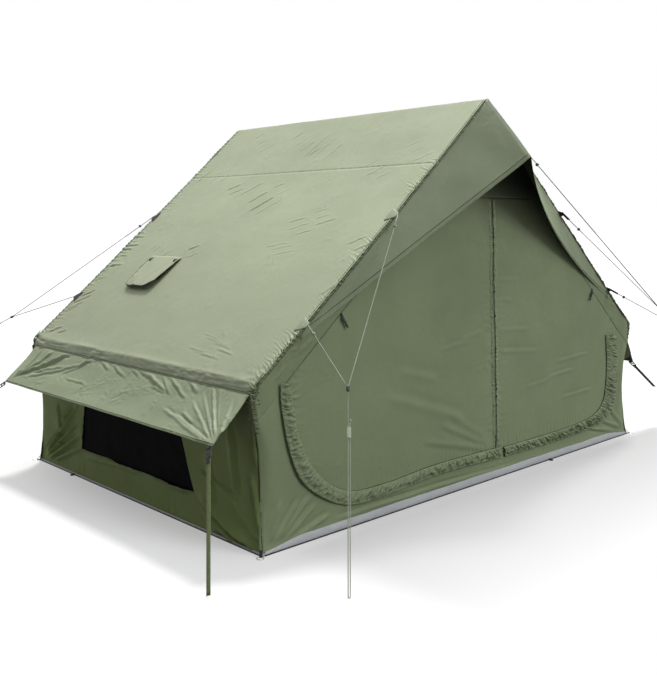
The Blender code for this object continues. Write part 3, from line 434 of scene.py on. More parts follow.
# Painted shade: the band and the zip edges get the wall cloth made darker, standing for the shade in their gathers.
BAND = cloth("band_cloth_painted_shade", (0.222, 0.273, 0.152), 0.58, 0.4, 0.08, 0.45)
SILVER = cloth("floor_cloth", (0.50, 0.51, 0.535), 0.5, 0.4, 0.06, 0.5)
PALE = cloth("tab_cloth", (0.29, 0.33, 0.23), 0.6, 0.3, 0.08, 0.4)
SLEEVE = cloth("sleeve_cloth", (0.10, 0.12, 0.075), 0.75, 0.3, 0.10, 0.2)
FILM = plastic("bladder_film", (0.70, 0.70, 0.66), 0.3)
NET = net_look("window_net")
BLACK = plastic("black_plastic", (0.010, 0.010, 0.011))
PALE_PLASTIC = plastic("pale_plastic", (0.40, 0.45, 0.34))
BLACK_WEB = webbing("black_webbing", (0.012, 0.012, 0.012))
OLIVE_WEB = webbing("olive_webbing", (0.205, 0.250, 0.105))
PALE_CORD = braid("pale_cord", (0.42, 0.46, 0.36))
DARK_CORD = braid("dark_cord", (0.085, 0.095, 0.080))
STEEL = steel_look("peg_ring_steel")


# Mesh makers
SET_SLOTS = ("roof_fabric", "wall_fabric", "floor_sheet", "awning_fabric")
HEM_OUT = {"side": 0.015, "end": 0.023}
HEM_FADE = 0.06
RIDGE_LIFT = 0.011
STITCH_R = 0.0014
ACROSS = np.array((0, 1, 0))


def settled(verts):
    """Sewn cloth as it sets: the hem pulled out by the pegs, the ridge a little high."""
    verts = np.array(verts, float)
    x, y, z = verts.T
    low = np.exp(-np.maximum(z, 0) / HEM_FADE)
    verts[:, 0] += np.sign(x) * HEM_OUT["side"] * low * soft_step(np.abs(x), 1.2, 1.5)
    verts[:, 1] += np.sign(y) * HEM_OUT["end"] * low * soft_step(np.abs(y), 0.8, 1.03)
    verts[:, 2] += RIDGE_LIFT * (1 - soft_step(np.abs(x), 0.0, 0.5)) * soft_step(z, 1.62, 1.85)
    return verts.tolist()


def piece(name, verts, faces, look, body, slot, nodes=()):
    """A mesh in the CAD's frame that rides on a body, or on none when no body is given."""
    if body == "tent" and slot in SET_SLOTS:
        verts = settled(verts)
    mesh = bpy.data.meshes.new(name)
    mesh.from_pydata([tuple(v) for v in verts], [], [tuple(f) for f in faces])
    mesh.validate()
    mesh.materials.append(look)
    mesh.shade_smooth()
    obj = bpy.data.objects.new(name, mesh)
    bpy.context.scene.collection.objects.link(obj)
    if body:
        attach(obj, body)
    if nodes:
        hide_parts(*nodes)
    return obj


def grid(name, points, look, body, slot, nodes=(), thick=0.0014, keep=None, flip=False):
    """A sheet through a grid of points. Its normals point out where rows cross columns leftwards; flip turns it."""
    if flip:
        points = points[:, ::-1]
    rows, columns = points.shape[:2]
    index = np.arange(rows * columns).reshape(rows, columns)
    quads = np.stack((index[:-1, :-1], index[:-1, 1:], index[1:, 1:], index[1:, :-1]), -1)
    if keep is not None:
        quads = quads[keep[:, ::-1] if flip else keep]
    quads = quads.reshape(-1, 4)
    used = np.unique(quads)
    renumber = np.zeros(rows * columns, int)
    renumber[used] = np.arange(len(used))
    verts = points.reshape(-1, 3)[used]
    obj = piece(name, verts.tolist(), renumber[quads].tolist(), look, body, slot, nodes)
    modifier = obj.modifiers.new("cloth", "SOLIDIFY")
    modifier.thickness = thick
    modifier.offset = -1.0
    modifier.use_even_offset = False
    return obj


def unit(vectors):
    """Rows of vectors brought to length 1."""
    return vectors / np.maximum(np.linalg.norm(vectors, axis=-1, keepdims=True), 1e-12)


def middles(values):
    """A grid's values at the middle of each of its quads."""
    return (values[:-1, :-1] + values[1:, 1:]) / 2


def distances(path):
    """The distance along a polyline at each of its points."""
    return np.concatenate(([0], np.cumsum(np.linalg.norm(np.diff(path, axis=0), axis=1))))


def evenly(path, count):
    """A polyline's points spread evenly, with the distance along it."""
    along = distances(path)
    places = np.linspace(0, along[-1], count)
    return np.stack([np.interp(places, along, values) for values in path.T], -1), places


def resample(path, step):
    """Points a step apart along a polyline, with the distance along it."""
    path = np.asarray(path, float)
    return evenly(path, max(2, int(round(distances(path)[-1] / step)) + 1))


def smooth_path(path, step=0.01):
    """A Catmull-Rom curve through the points, evenly resampled."""
    path = np.asarray(path, float)
    ends = np.concatenate((2 * path[:1] - path[1:2], path, 2 * path[-1:] - path[-2:-1]))
    out = []
    for i in range(1, len(ends) - 2):
        p0, p1, p2, p3 = ends[i - 1:i + 3]
        for t in np.linspace(0, 1, 12, endpoint=False):
            out.append(0.5 * (2 * p1 + (p2 - p0) * t + (2 * p0 - 5 * p1 + 4 * p2 - p3) * t ** 2
                              + (3 * p1 - p0 - 3 * p2 + p3) * t ** 3))
    out.append(path[-1])
    return resample(out, step)[0]


def strip(name, path, normal, width, raise_by, look, body, slot, wave=0.0, seed=1, stitches=()):
    """A sewn seam or hem: a low crowned strip along a path that lies on cloth."""
    path = np.asarray(path, float)
    normal = np.broadcast_to(np.asarray(normal, float), path.shape)
    side = unit(np.cross(normal, unit(np.gradient(path, axis=0))))
    distance = distances(path)
    rows = []
    for place, height in ((-0.5, 0), (-0.42, 0.8), (-0.2, 1), (0, 0.8), (0.2, 1), (0.42, 0.8), (0.5, 0)):
        ripple = wave * noise(distance / 0.022, place * 2.0, seed)
        lift = raise_by * height + ripple * (height + 0.3)
        rows.append(path + side * width * place + normal * lift[:, None])
    # Stitch lines as thin tubes, darkened as painted shade in their grooves.
    for k, place in enumerate(stitches):
        run = path + side * width * place + normal * (raise_by + 0.0002)
        tube(f"{name}_stitch_{k}", run, STITCH_R, STITCH_AND_GROOVE_SHADE, body, slot, 6)
    return grid(name, np.stack(rows, 0), look, body, slot, thick=0.0008)


def ring_faces(count, sides, closed=False, flip=False):
    """The quads between a run of rings of points, and its two end caps."""
    faces = []
    for i in range(count if closed else count - 1):
        j = (i + 1) % count
        for k in range(sides):
            m = (k + 1) % sides
            faces.append((i * sides + k, i * sides + m, j * sides + m, j * sides + k))
    if not closed:
        faces.append(tuple(reversed(range(sides))))
        faces.append(tuple(range((count - 1) * sides, count * sides)))
    return [face[:1] + face[:0:-1] for face in faces] if flip else faces


def tube(name, path, radius, look, body, slot, sides=10, nodes=(), closed=False, upright=None):
    """A round bar along a path, with a steady frame and closed ends."""
    path = np.asarray(path, float)
    radius = np.broadcast_to(np.asarray(radius, float), (len(path),))
    along = np.roll(path, -1, 0) - np.roll(path, 1, 0) if closed else np.gradient(path, axis=0)
    along = unit(along)
    arm = np.array(Vector(along[0]).orthogonal() if upright is None else upright, float)
    verts = []
    for point, run, size in zip(path, along, radius):
        arm = arm - run * arm.dot(run)
        arm /= np.linalg.norm(arm)
        side = np.cross(run, arm)
        for k in range(sides):
            turn = math.tau * k / sides
            verts.append(point + (arm * math.cos(turn) + side * math.sin(turn)) * size)
    return piece(name, verts, ring_faces(len(path), sides, closed), look, body, slot, nodes)


def flat_band(name, path, width_dir, width, thick, look, body, slot, nodes=()):
    """Flat webbing along a path: a closed band with softened edges."""
    path = np.asarray(path, float)
    along = unit(np.gradient(path, axis=0))
    across = np.broadcast_to(np.asarray(width_dir, float), path.shape)
    across = unit(across - along * np.sum(across * along, axis=1, keepdims=True))
    out = np.cross(along, across)
    ring = ((-1, 0), (-0.93, 1), (0, 1), (0.93, 1), (1, 0), (0.93, -1), (0, -1), (-0.93, -1))
    points = np.stack([path + across * width / 2 * a + out * thick / 2 * b for a, b in ring], 1)
    faces = ring_faces(len(path), len(ring), flip=True)
    return piece(name, points.reshape(-1, 3), faces, look, body, slot, nodes)


# Roof
def roof_outline():
    """The right half's outer outline: rounded ridge, slope, rounded eave and hem."""
    points = []
    ridge_z = RIDGE_Z - RIDGE_R / math.cos(PITCH)
    for t in np.linspace(0, PITCH, 7):
        points.append((RIDGE_R * math.sin(t), ridge_z + RIDGE_R * math.cos(t)))
    for t in np.linspace(PITCH, math.pi / 2 + LEAN, 25):
        if EAVE_R * math.cos(t) > HEM_Z - EAVE_CZ + 0.001:
            points.append((EAVE_CX + EAVE_R * math.sin(t), EAVE_CZ + EAVE_R * math.cos(t)))
    points.append((wall_x(HEM_Z), HEM_Z))
    fine, places = resample(points, 0.003)
    run = np.gradient(fine, axis=0)
    run /= np.linalg.norm(run, axis=1, keepdims=True)
    return fine, np.stack((-run[:, 1], run[:, 0]), -1), places


ROOF_LINE, ROOF_NORMAL, ROOF_PLACES = roof_outline()
ROOF_LONG = float(ROOF_PLACES[-1])
SEAM_X = 0.39
ROOF_SEAM = SEAM_X / math.cos(PITCH)
EAVE_START = float(np.hypot(EAVE_CX + EAVE_R * math.sin(PITCH), RIDGE_Z - EAVE_CZ - EAVE_R * math.cos(PITCH)))
ROOF_PLANE = (Vector((-1.0, 0, RIDGE_Z - SLOPE)), Vector((-math.sin(PITCH), 0, math.cos(PITCH))))


def roof_place(a, b):
    """The left roof's distance from the ridge and Y under a pixel of the photograph."""
    hit = seen_at(a, b, *ROOF_PLANE)
    return math.hypot(hit.x, RIDGE_Z - hit.z), hit.y


# Clusters of short folds on the roof as the photograph shows them: the first fold's two pixels,
# the pixel step to the next one, how many, and their width and height in mm.
ROOF_FANS = [
    ((284, 145), (310, 127), (5, 5), 4, 6, 3.6), ((298, 160), (332, 132), (9, 2), 3, 6, 3.6),
    ((250, 144), (270, 132), (4, 5), 3, 6, 2.4), ((204, 162), (218, 148), (5, 3), 3, 6, 2.6),
    ((184, 178), (206, 160), (6, 3), 4, 6, 3.2), ((214, 176), (228, 168), (3, 6), 2, 6, 2.6),
    ((236, 198), (268, 180), (5, 6), 4, 6, 4.0), ((226, 188), (244, 180), (3, 6), 2, 6, 3.0),
    ((268, 182), (284, 174), (4, 6), 3, 6, 2.6), ((278, 226), (316, 214), (3, 6), 3, 5, 2.3),
    ((264, 246), (294, 240), (2, 5), 3, 5, 2.0), ((308, 214), (332, 206), (3, 5), 3, 6, 2.4),
    ((148, 250), (160, 240), (4, 2), 4, 5, 3.0), ((186, 253), (206, 244), (-3, 4), 2, 6, 3.4),
    ((200, 331), (228, 342), (4, 5), 4, 5, 1.7), ((186, 345), (212, 353), (5, 4), 3, 5, 1.3),
    ((126, 239), (148, 237), (-6, 6), 5, 6, 3.6), ((102, 268), (118, 262), (-5, 6), 3, 6, 3.0),
    ((58, 315), (84, 303), (6, -5), 4, 7, 3.6), ((44, 328), (60, 322), (5, 3), 3, 7, 3.4),
    ((344, 246), (372, 234), (4, 6), 3, 6, 2.6), ((318, 296), (342, 280), (4, 5), 3, 6, 2.6),
    ((360, 170), (384, 158), (5, 6), 3, 6, 2.0), ((400, 150), (428, 138), (4, 6), 3, 6, 2.2),
]


FOLD_SEED = 2000
FOLD_SHARE = 1.15


def folds(a, b):
    """Every patch's folds: a little uneven in place and length, and wavering along their run."""
    rng = np.random.default_rng(FOLD_SEED)
    waver = noise(a / 0.035, b / 0.035, FOLD_SEED) * 0.004
    total = 0
    for start, end, step, count, width, depth in ROOF_FANS:
        start = np.array(start, float)
        end = np.array(end, float)
        for k in range(count):
            middle = (start + end) / 2 + np.array(step) * k + rng.normal(0, 1.0, 2)
            half = (end - start) / 2 * rng.uniform(0.5, 1.05)
            total += crease(a + waver, b - waver, roof_place(*(middle - half)), roof_place(*(middle + half)),
                            width * rng.uniform(0.7, 1.3) / 1000, depth * rng.uniform(0.5, 1.2) / 1000)
    return total


ROOF_LIE = -0.25
BAND_CHORD = 0.55


def roof_push(side, s, y):
    """How far the roof cloth stands off its CAD face."""
    seed = 100 if side == "left" else 300
    mask = soft_step(s, 0.0, 0.08) * (1 - soft_step(s, EAVE_START + 0.02, EAVE_START + 0.10))
    push = -0.004 * np.sin(np.clip(s / EAVE_START, 0, 1) * math.pi) * np.cos(y / BACK * math.pi / 2)
    push += crumple(s, y, ROOF_LIE, 0.14, 0.030, 0.0017, 0.14, seed) * mask
    push += crumple(s, y, ROOF_LIE + 0.35, 0.11, 0.024, 0.0012, 0.12, seed + 20) * mask
    push += 0.0018 * noise(s / 0.20, y / 0.28, seed + 4)
    gathered = np.clip(0.25 + 1.6 * noise(s / 0.30, 0.5, seed + 41), 0.1, 1) + soft_step(s, 1.35, 1.75)
    push += puckers(s, y - FRONT, 0.019, 0.034, 0.0075, seed + 40, 0.5) * gathered
    push += puckers(s, BACK - y, 0.026, 0.034, 0.0060, seed + 50)
    push += puckers(y, np.abs(s - ROOF_SEAM), 0.045, 0.025, 0.0012, seed + 60)
    push += puckers(y, ROOF_LONG - s, 0.060, 0.045, 0.0030, seed + 70)
    corner = np.exp(-((y - FRONT) / 0.12) ** 2) + np.exp(-((BACK - y) / 0.10) ** 2)
    near = np.exp(-((s - EAVE_START - 0.05) / 0.10) ** 2)
    held = 1 - np.exp(-np.minimum(y - FRONT, BACK - y) / 0.008)
    push += 0.011 * corner * near * held * noise(s / 0.034, y / 0.080, seed + 80)
    push = push - 0.0020 * np.exp(-((s - ROOF_SEAM) / 0.006) ** 2)
    if side == "left":
        push += FOLD_SHARE * folds(s, y)
    bend = math.pi / 2 + LEAN - PITCH
    turn = np.clip((s - EAVE_START) / EAVE_R, 0, bend) - bend / 2
    chord = EAVE_R * (1 - math.cos(bend / 2) / np.cos(turn))
    on_band = soft_step(s, EAVE_START - 0.004, EAVE_START + 0.004)
    crest = 0.0025 * np.exp(-((s - EAVE_START) / 0.016) ** 2) * (1 + noise(y / 0.14, 0.5, seed + 90))
    ruck = 0.0035 * noise(s / 0.016, y / 0.11, seed + 91) + 0.0025 * noise(s / 0.012, y / 0.045, seed + 92)
    ruck = ruck * np.clip(0.6 + 1.3 * noise(y / 0.3, 0.5, seed + 93), 0.2, 1.4)
    return push * (1 - 0.5 * on_band) + crest + (ruck - chord * BAND_CHORD) * on_band


def roof_at(side, s, y, lift=0.0):
    """Points on a roof half's cloth."""
    s, y = np.broadcast_arrays(np.asarray(s, float), np.asarray(y, float))
    x = np.interp(s, ROOF_PLACES, ROOF_LINE[:, 0])
    z = np.interp(s, ROOF_PLACES, ROOF_LINE[:, 1])
    nx = np.interp(s, ROOF_PLACES, ROOF_NORMAL[:, 0])
    nz = np.interp(s, ROOF_PLACES, ROOF_NORMAL[:, 1])
    push = roof_push(side, s, y) + lift - 0.001
    return np.stack((SIDES[side] * (x + nx * push), y, z + nz * push), -1)


VENT_X = 0.96
VENT_TOP = VENT_X / math.cos(PITCH)
VENT_Y = 0.48


def roof(side):
    """One slope's cloth with the vent's hole, its seams and its gathered front and rear edges."""
    sign = SIDES[side]
    hole = (VENT_TOP + 0.04, VENT_TOP + 0.18, VENT_Y - 0.11, VENT_Y + 0.11)
    across, near, far = (0.0046, 0.005, 0.0070) if sign < 0 else (0.0075, 0.008, 0.020)
    s, y = np.meshgrid(graded(0.0, ROOF_LONG, across, across, 0.1, hole[:2]),
                       graded(FRONT, BACK, near, far, 0.22, hole[2:]), indexing="ij")
    middle_s, middle_y = middles(s), middles(y)
    keep = ~((middle_s > hole[0]) & (middle_s < hole[1]) & (middle_y > hole[2]) & (middle_y < hole[3]))
    obj = grid(f"{side}_roof_cloth", roof_at(side, s, y), ROOF, "tent", "roof_fabric", (f"{side}_roof",),
               keep=keep, flip=sign < 0)
    run = np.arange(0.03, ROOF_LONG - 0.002, 0.004)
    for end, face in ENDS.items():
        inward = roof_at(side, run, face * (BACK - 0.001), -0.006)
        wander = 0.0022 * noise(run / 0.016, 0.5, 95) + 0.0030 * noise(run / 0.06, 0.5, 96)
        path = inward + np.stack((np.zeros_like(run), face * (0.0035 + wander), wander), -1)
        rucked = (0.5 + soft_step(run, 0.4, 1.4)) * (1 if end == "front" else 0.3)
        bulk = 0.0046 + 0.0036 * np.abs(noise(run / 0.012, 0.3, 97)) * rucked
        tube(f"{side}_roof_{end}_welt", path, bulk, HEM, "tent", "roof_fabric", 8, upright=ACROSS)
    along_s = np.linspace(0.02, ROOF_LONG - 0.004, 240)
    along_y = np.linspace(FRONT + 0.004, BACK - 0.004, 150)
    for name, s, y, width, stitches in (
        ("cross", ROOF_SEAM, along_y, 0.012, (-0.5,)),
        ("front", along_s, FRONT + 0.006, 0.012, (0.5, -0.45)),
        ("rear", along_s, BACK - 0.006, 0.012, (0.5, -0.5)),
        ("hem", ROOF_LONG - 0.006, along_y, 0.011, (-0.5, 0.5)),
    ):
        path = roof_at(side, s, y)
        normal = (roof_at(side, s, y, 0.01) - path) / 0.01
        strip(f"{side}_roof_{name}_seam", path, normal, width, 0.0012, ROOF, "tent", "roof_fabric", 0.0004,
              11 + len(name), stitches)


for side_name in SIDES:
    roof(side_name)

ridge_y = np.linspace(FRONT + 0.002, BACK - 0.002, 120)
ridge_z = RIDGE_Z - RIDGE_R / math.cos(PITCH) + RIDGE_R - 0.0008
strip("ridge_seam", np.stack((ridge_y * 0, ridge_y, ridge_y * 0 + ridge_z), -1), (0, 0, 1), 0.014, 0.0012, ROOF,
      "tent", "roof_fabric", 0.0006, 5)


# Roof vents
HOOD_HALF = 0.15
HOOD_DEPTH = 0.24
HOOD_RISE = math.radians(12.0)
NET_HALF = 0.13
NET_DEPTH = 0.18


def vent(side):
    """A propped hood whose cloth runs from the roof up to the hood, its tags, and the net below it."""
    sign = SIDES[side]
    down = np.array((sign * math.cos(PITCH), 0, -math.sin(PITCH)))
    out = np.array((sign * math.sin(PITCH), 0, math.cos(PITCH)))
    top = np.array((sign * VENT_X, VENT_Y, RIDGE_Z - SLOPE * VENT_X))
    ahead = down * math.cos(HOOD_RISE) + out * math.sin(HOOD_RISE)
    above = out * math.cos(HOOD_RISE) - down * math.sin(HOOD_RISE)
    pivot = top + out * 0.0013
    a, b = np.meshgrid(np.linspace(0, HOOD_DEPTH, 33), np.linspace(-HOOD_HALF, HOOD_HALF, 41), indexing="ij")
    share = a / HOOD_DEPTH
    far_side, near_side = (np.clip(way * b / HOOD_HALF, 0, 1) for way in (1, -1))
    curl = 0.60 + 0.14 * far_side ** 1.5 - 0.15 * near_side ** 2
    push = -a * math.sin(HOOD_RISE) * curl - 0.004 * share ** 4
    push += 0.004 * noise(b / 0.05, a / 0.11, 77) * share
    push += crumple(a, b, 0.5, 0.07, 0.016, 0.004, 0.55, 78) * (0.3 + share)
    push += puckers(b, a, 0.02, 0.03, 0.003, 79) * soft_step(a, 0, 0.01)
    reach = a * (1.10 - 0.12 * (np.abs(b) / HOOD_HALF) ** 6)
    spread = b * (1 - 0.10 * share ** 2)
    points = pivot + reach[..., None] * ahead + spread[..., None] * ACROSS + push[..., None] * above
    obj = grid(f"{side}_hood_cloth", points, ROOF, None, "roof_fabric", (f"{side}_vent_hood",), 0.0012,
               flip=sign < 0)
    edge = np.concatenate((points[3:, 0], points[-1, 1:-1], points[::-1, -1][:-3]))
    hem = tube(f"{side}_hood_hem", smooth_path(edge[::2], 0.008), 0.0026, BLACK_WEB, None, "roof_fabric", 6)
    for soft in (obj, hem):
        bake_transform(soft)
    for k, place in enumerate((-0.125, 0.125)):
        start = top + ACROSS * place + out * 0.002 + down * 0.015
        path = [start, start + down * 0.02 + out * 0.010, start + down * 0.035 + out * 0.004]
        flat_band(f"{side}_hood_tag_{k}", smooth_path(path, 0.004), ACROSS, 0.012, 0.0016, BLACK_WEB,
                  "tent", "black_plastic")
    a, b = np.meshgrid(np.linspace(0, NET_DEPTH, 10), np.linspace(-NET_HALF, NET_HALF, 12), indexing="ij")
    sag = -0.004 * np.sin(a / NET_DEPTH * math.pi) * np.cos(b / NET_HALF * math.pi / 2) - 0.0023
    net = top + (a[..., None] + 0.02) * down + b[..., None] * ACROSS + sag[..., None] * out
    mesh = grid(f"{side}_vent_net", net, NET, "tent", "black_mesh", (f"{side}_vent_mesh",), 0.0006, flip=sign < 0)


for side_name in SIDES:
    vent(side_name)


# Upright corners
CORNER_R = 0.068
SIDE_TURN = math.radians(46.0)
END_TURN = math.pi / 2 - SIDE_TURN


def corner_radius(z):
    """The cloth bends round the arch at an upright corner, but is sharp at the floor and the eave."""
    z = np.asarray(z, float)
    return CORNER_R * soft_step(z, 0.03, 0.36) * (1 - soft_step(z, 0.42, 0.70)) + 1e-6


def corner_turn(away, z, turn):
    """A corner point's moves along its wall and in from it, for that wall's own part of the bend."""
    radius = corner_radius(z)
    angle = np.clip(1 - away / radius, 0, 1) * turn
    along = np.where(away < radius, radius - radius * np.sin(angle) - away, 0)
    return along, radius * (1 - np.cos(angle))


# Side walls
LOW_Z = 0.006
WINDOW = {"sill": 0.16, "head": 0.60, "sill_half": 0.545, "head_half": 0.415}
NET_OVER = 0.018
WALL_PLANE = (Vector((-BASE_HALF, 0, 0)), Vector((-1, 0, -LEAN_SLOPE)).normalized())


def wall_place(a, b):
    """Height and Y on the left wall under a pixel of the photograph."""
    hit = seen_at(a, b, *WALL_PLANE)
    return hit.z, hit.y


WALL_CREASES = [
    ((46, 455), (79, 404), 11, 8), ((47, 457), (80, 420), 9, 7), ((50, 458), (80, 436), 10, 8),
    ((55, 460), (82, 448), 9, 5), ((258, 552), (196, 492), 20, 9), ((248, 552), (200, 512), 13, 6),
    ((84, 456), (118, 466), 9, 4), ((96, 452), (150, 470), 8, 4), ((150, 474), (192, 494), 9, 5),
    ((206, 452), (214, 510), 16, 4), ((228, 420), (236, 500), 18, 5), ((57, 400), (62, 450), 12, 4),
    ((262, 545), (232, 500), 12, 6), ((250, 545), (196, 497), 10, 6), ((262, 540), (250, 470), 12, 6),
    ((110, 462), (142, 474), 9, 4), ((128, 462), (160, 478), 9, 4), ((148, 470), (176, 486), 8, 4),
    ((196, 470), (240, 500), 9, 4), ((60, 420), (80, 400), 9, 5), ((250, 400), (256, 470), 10, 5),
]


def wall_push(side, z, y):
    """How far a side wall's cloth stands off its CAD face."""
    seed = 500 if side == "left" else 700
    push = 0.0030 * noise(z / 0.16, y / 0.24, seed)
    push += crumple(z, y, 0.9, 0.10, 0.030, 0.004, 0.22, seed + 10)
    push += puckers(z, y - FRONT, 0.022, 0.025, 0.004, seed + 20)
    push += puckers(z, BACK - y, 0.024, 0.025, 0.004, seed + 30)
    push += puckers(y, z - LOW_Z, 0.04, 0.04, 0.004, seed + 40)
    if side == "left":
        waver = 0.005 * noise(z / 0.05, y / 0.05, seed + 60)
        return push + creases(z + waver, y - waver, WALL_CREASES, wall_place, 1, 2.6) - 0.004
    for end in (FRONT, BACK):
        for share in (0.25, 0.5, 0.75, 1.0):
            target = (0.5 * share + 0.05, end * (1 - 0.36 * (1.25 - share)))
            push += crease(z, y, (0.03, end * 0.985), target, 0.010, 0.006)
    return push - 0.004


def window_half(z):
    """Half the window's width at a height."""
    share = (z - WINDOW["sill"]) / (WINDOW["head"] - WINDOW["sill"])
    return WINDOW["sill_half"] + (WINDOW["head_half"] - WINDOW["sill_half"]) * share


def side_wall(side):
    """A side wall's cloth with its window hole, the hole's binding and the net behind it."""
    sign = SIDES[side]
    sill, head, sill_half, head_half = WINDOW.values()
    outer = np.linspace(-1, -0.5, 64)[:-1]
    z, t = np.meshgrid(graded(LOW_Z, HEM_Z - 0.001, 0.007, 0.008, 0.1, (sill, head)),
                       np.concatenate((outer, np.linspace(-0.5, 0.5, 101), -outer[::-1])), indexing="ij")
    half = window_half(np.clip(z, sill, head))
    beyond = half + (BACK - half) * (np.abs(t) - 0.5) * 2
    y = np.where(np.abs(t) <= 0.5, t * 2 * half, np.sign(t) * beyond)
    push = wall_push(side, z, y)
    along, inward = corner_turn(BACK - np.abs(y), z, SIDE_TURN)
    x = wall_x(z) + push * math.cos(LEAN) - inward
    points = np.stack((sign * x, y - np.sign(y) * along, z - push * math.sin(LEAN)), -1)
    middle_z = middles(z)
    keep = ~((np.abs(middles(t)) < 0.5) & (middle_z > sill) & (middle_z < head))
    obj = grid(f"{side}_wall_cloth", points, SIDE, "tent", "wall_fabric", (f"{side}_wall",), keep=keep,
               flip=sign > 0)
    corners = [(sill, -sill_half), (sill, sill_half), (head, head_half), (head, -head_half), (sill, -sill_half)]
    flat = resample(corners, 0.012)[0]
    flat = flat + (flat - ((sill + head) / 2, 0)) * 0.012
    x = wall_x(flat[:, 0]) + wall_push(side, flat[:, 0], flat[:, 1])
    path = np.stack((sign * x, flat[:, 1], flat[:, 0]), -1)
    strip(f"{side}_window_binding", path, (sign, 0, 0), 0.012, 0.0016, SEAM, "tent", "wall_fabric", 0.0006, 33)
    z, t = np.meshgrid(np.linspace(sill - NET_OVER, head + NET_OVER, 20), np.linspace(-1, 1, 44), indexing="ij")
    tall = head - sill + 2 * NET_OVER
    sag = 0.006 * np.sin((z - sill + NET_OVER) / tall * math.pi) * np.cos(t * math.pi / 2)
    sag += 0.003 * noise(z / 0.08, t / 0.16, 91)
    x = wall_x(z, SHEET + 0.008) - np.abs(sag)
    net = np.stack((sign * x, t * (window_half(z) + NET_OVER), z), -1)
    mesh = grid(f"{side}_window_net", net, NET, "tent", "black_mesh", (f"{side}_window_mesh",), 0.0006,
                flip=sign > 0)


for side_name in SIDES:
    side_wall(side_name)


# Front, door and back
TO_FRONT = (0, -1, 0)
GABLE_INSET = 0.0035
FRONT_PLANE = (Vector((0, FRONT, 0)), Vector((0, -1, 0)))


def front_place(a, b):
    """X and height on the door's plane under a pixel of the photograph."""
    hit = seen_at(a, b, *FRONT_PLANE)
    return hit.x, hit.z


FRONT_CREASES = [
    ((270, 548), (300, 498), 10, 6), ((272, 549), (312, 492), 9, 5), ((275, 550), (318, 500), 9, 5),
    ((280, 548), (330, 512), 10, 5), ((268, 546), (280, 500), 12, 5), ((330, 520), (420, 492), 9, 4),
    ((350, 512), (470, 476), 8, 4), ((420, 490), (520, 462), 8, 3), ((493, 446), (438, 424), 16, 1.8),
    ((492, 449), (420, 442), 14, 2), ((490, 440), (446, 412), 18, 1.2), ((622, 428), (606, 404), 8, 6),
    ((624, 430), (600, 420), 8, 5), ((624, 432), (585, 428), 8, 5), ((555, 362), (590, 352), 8, 2.5),
    ((545, 378), (575, 368), 8, 2.5), ((524, 388), (552, 378), 8, 2.0), ((560, 398), (592, 388), 8, 2.0),
    ((460, 340), (484, 330), 8, 2.0), ((440, 350), (470, 340), 9, 2.0), ((398, 372), (440, 380), 22, 1.4),
    ((380, 396), (470, 420), 24, 1.8), ((495, 330), (530, 328), 9, 2.0), ((495, 280), (520, 279), 8, 1.8),
    ((495, 300), (512, 299), 7, 1.8), ((496, 352), (540, 350), 10, 2.0), ((300, 352), (312, 338), 8, 3),
    ((275, 380), (284, 366), 8, 3), ((290, 344), (300, 330), 8, 2.5),
]


def zip_x(z):
    """The zip's X at a height."""
    return ZIP_BOTTOM_X + (ZIP_TOP_X - ZIP_BOTTOM_X) * (z - DOOR_SILL) / (DOOR_HEAD - DOOR_SILL)


def door_seam(x):
    """Height of the slanted seams that the door leaves hang from."""
    return DOOR_SEAM_TOP - SLOPE * np.abs(x)


def front_push(x, z):
    """How far the door end's cloth stands off its CAD face."""
    push = 0.0022 * noise(x / 0.30, z / 0.22, 900)
    push += crumple(x, z, 0.25, 0.13, 0.030, 0.0016, 0.12, 910)
    side = wall_x(z) - np.abs(x)
    push += puckers(z, side, 0.020, 0.030, 0.0035, 920) + 0.006 * np.exp(-((side - 0.07) / 0.045) ** 2)
    slant = (roof_z(x) - z) * math.cos(PITCH)
    push += puckers(np.abs(x) / math.cos(PITCH), slant, 0.022, 0.030, 0.0030, 930)
    seam = np.abs((door_seam(x) - z) * math.cos(PITCH)) + (z > DOOR_HEAD) * 9
    push += puckers(np.abs(x) / math.cos(PITCH), seam, 0.030, 0.030, 0.0020, 935)
    push += puckers(z, np.abs(x - zip_x(z)) - 0.02, 0.036, 0.06, 0.0045, 940)
    push += puckers(x, z - 0.03, 0.05, 0.04, 0.0030, 950)
    radius = np.where(x < 0, DOOR_CORNER["left"], DOOR_CORNER["right"]) - BAND_IN
    out_x = np.maximum(np.abs(x) - (DOOR_HALF - BAND_IN - radius), 0)
    out_z = np.maximum(DOOR_SILL + BAND_IN + radius - z, 0)
    inside = radius - np.hypot(out_x, out_z)
    round_edge = radius * np.arctan2(out_z, out_x + 1e-9) - np.abs(x) * (out_x == 0) + z * (out_z == 0)
    push += puckers(round_edge, inside, 0.030, 0.040, 0.0045, 960) * (inside > 0) * (z < 0.9)
    push += creases(x, z, FRONT_CREASES, front_place, 1, 2.1)
    return np.clip(push, -0.009, 0.012) * (0.15 + 0.85 * soft_step(z, 0.035, 0.075))


def front_at(x, z, lift=0.0):
    """Points on the door end's cloth."""
    along, inward = corner_turn(np.maximum(wall_x(z) - np.abs(x), 0), z, END_TURN)
    return np.stack((x - np.sign(x) * along, FRONT + 0.0005 - front_push(x, z) - lift + inward, z), -1)


def column_grid(x, low, high, rows):
    """Points in columns between two heights."""
    t = np.linspace(0, 1, rows)[:, None]
    z = low[None, :] * (1 - t) + high[None, :] * t
    return np.broadcast_to(x[None, :], z.shape), z


def upper_edge(x, inset):
    """The gable's outline under the roof, with its rounded eaves."""
    x = np.abs(x)
    radius = EAVE_R - inset
    arc = EAVE_CZ + np.sqrt(np.maximum(radius ** 2 - (x - EAVE_CX) ** 2, 0))
    tangent = EAVE_CX + radius * math.sin(PITCH)
    return np.where(x < tangent, roof_z(x, inset), arc)


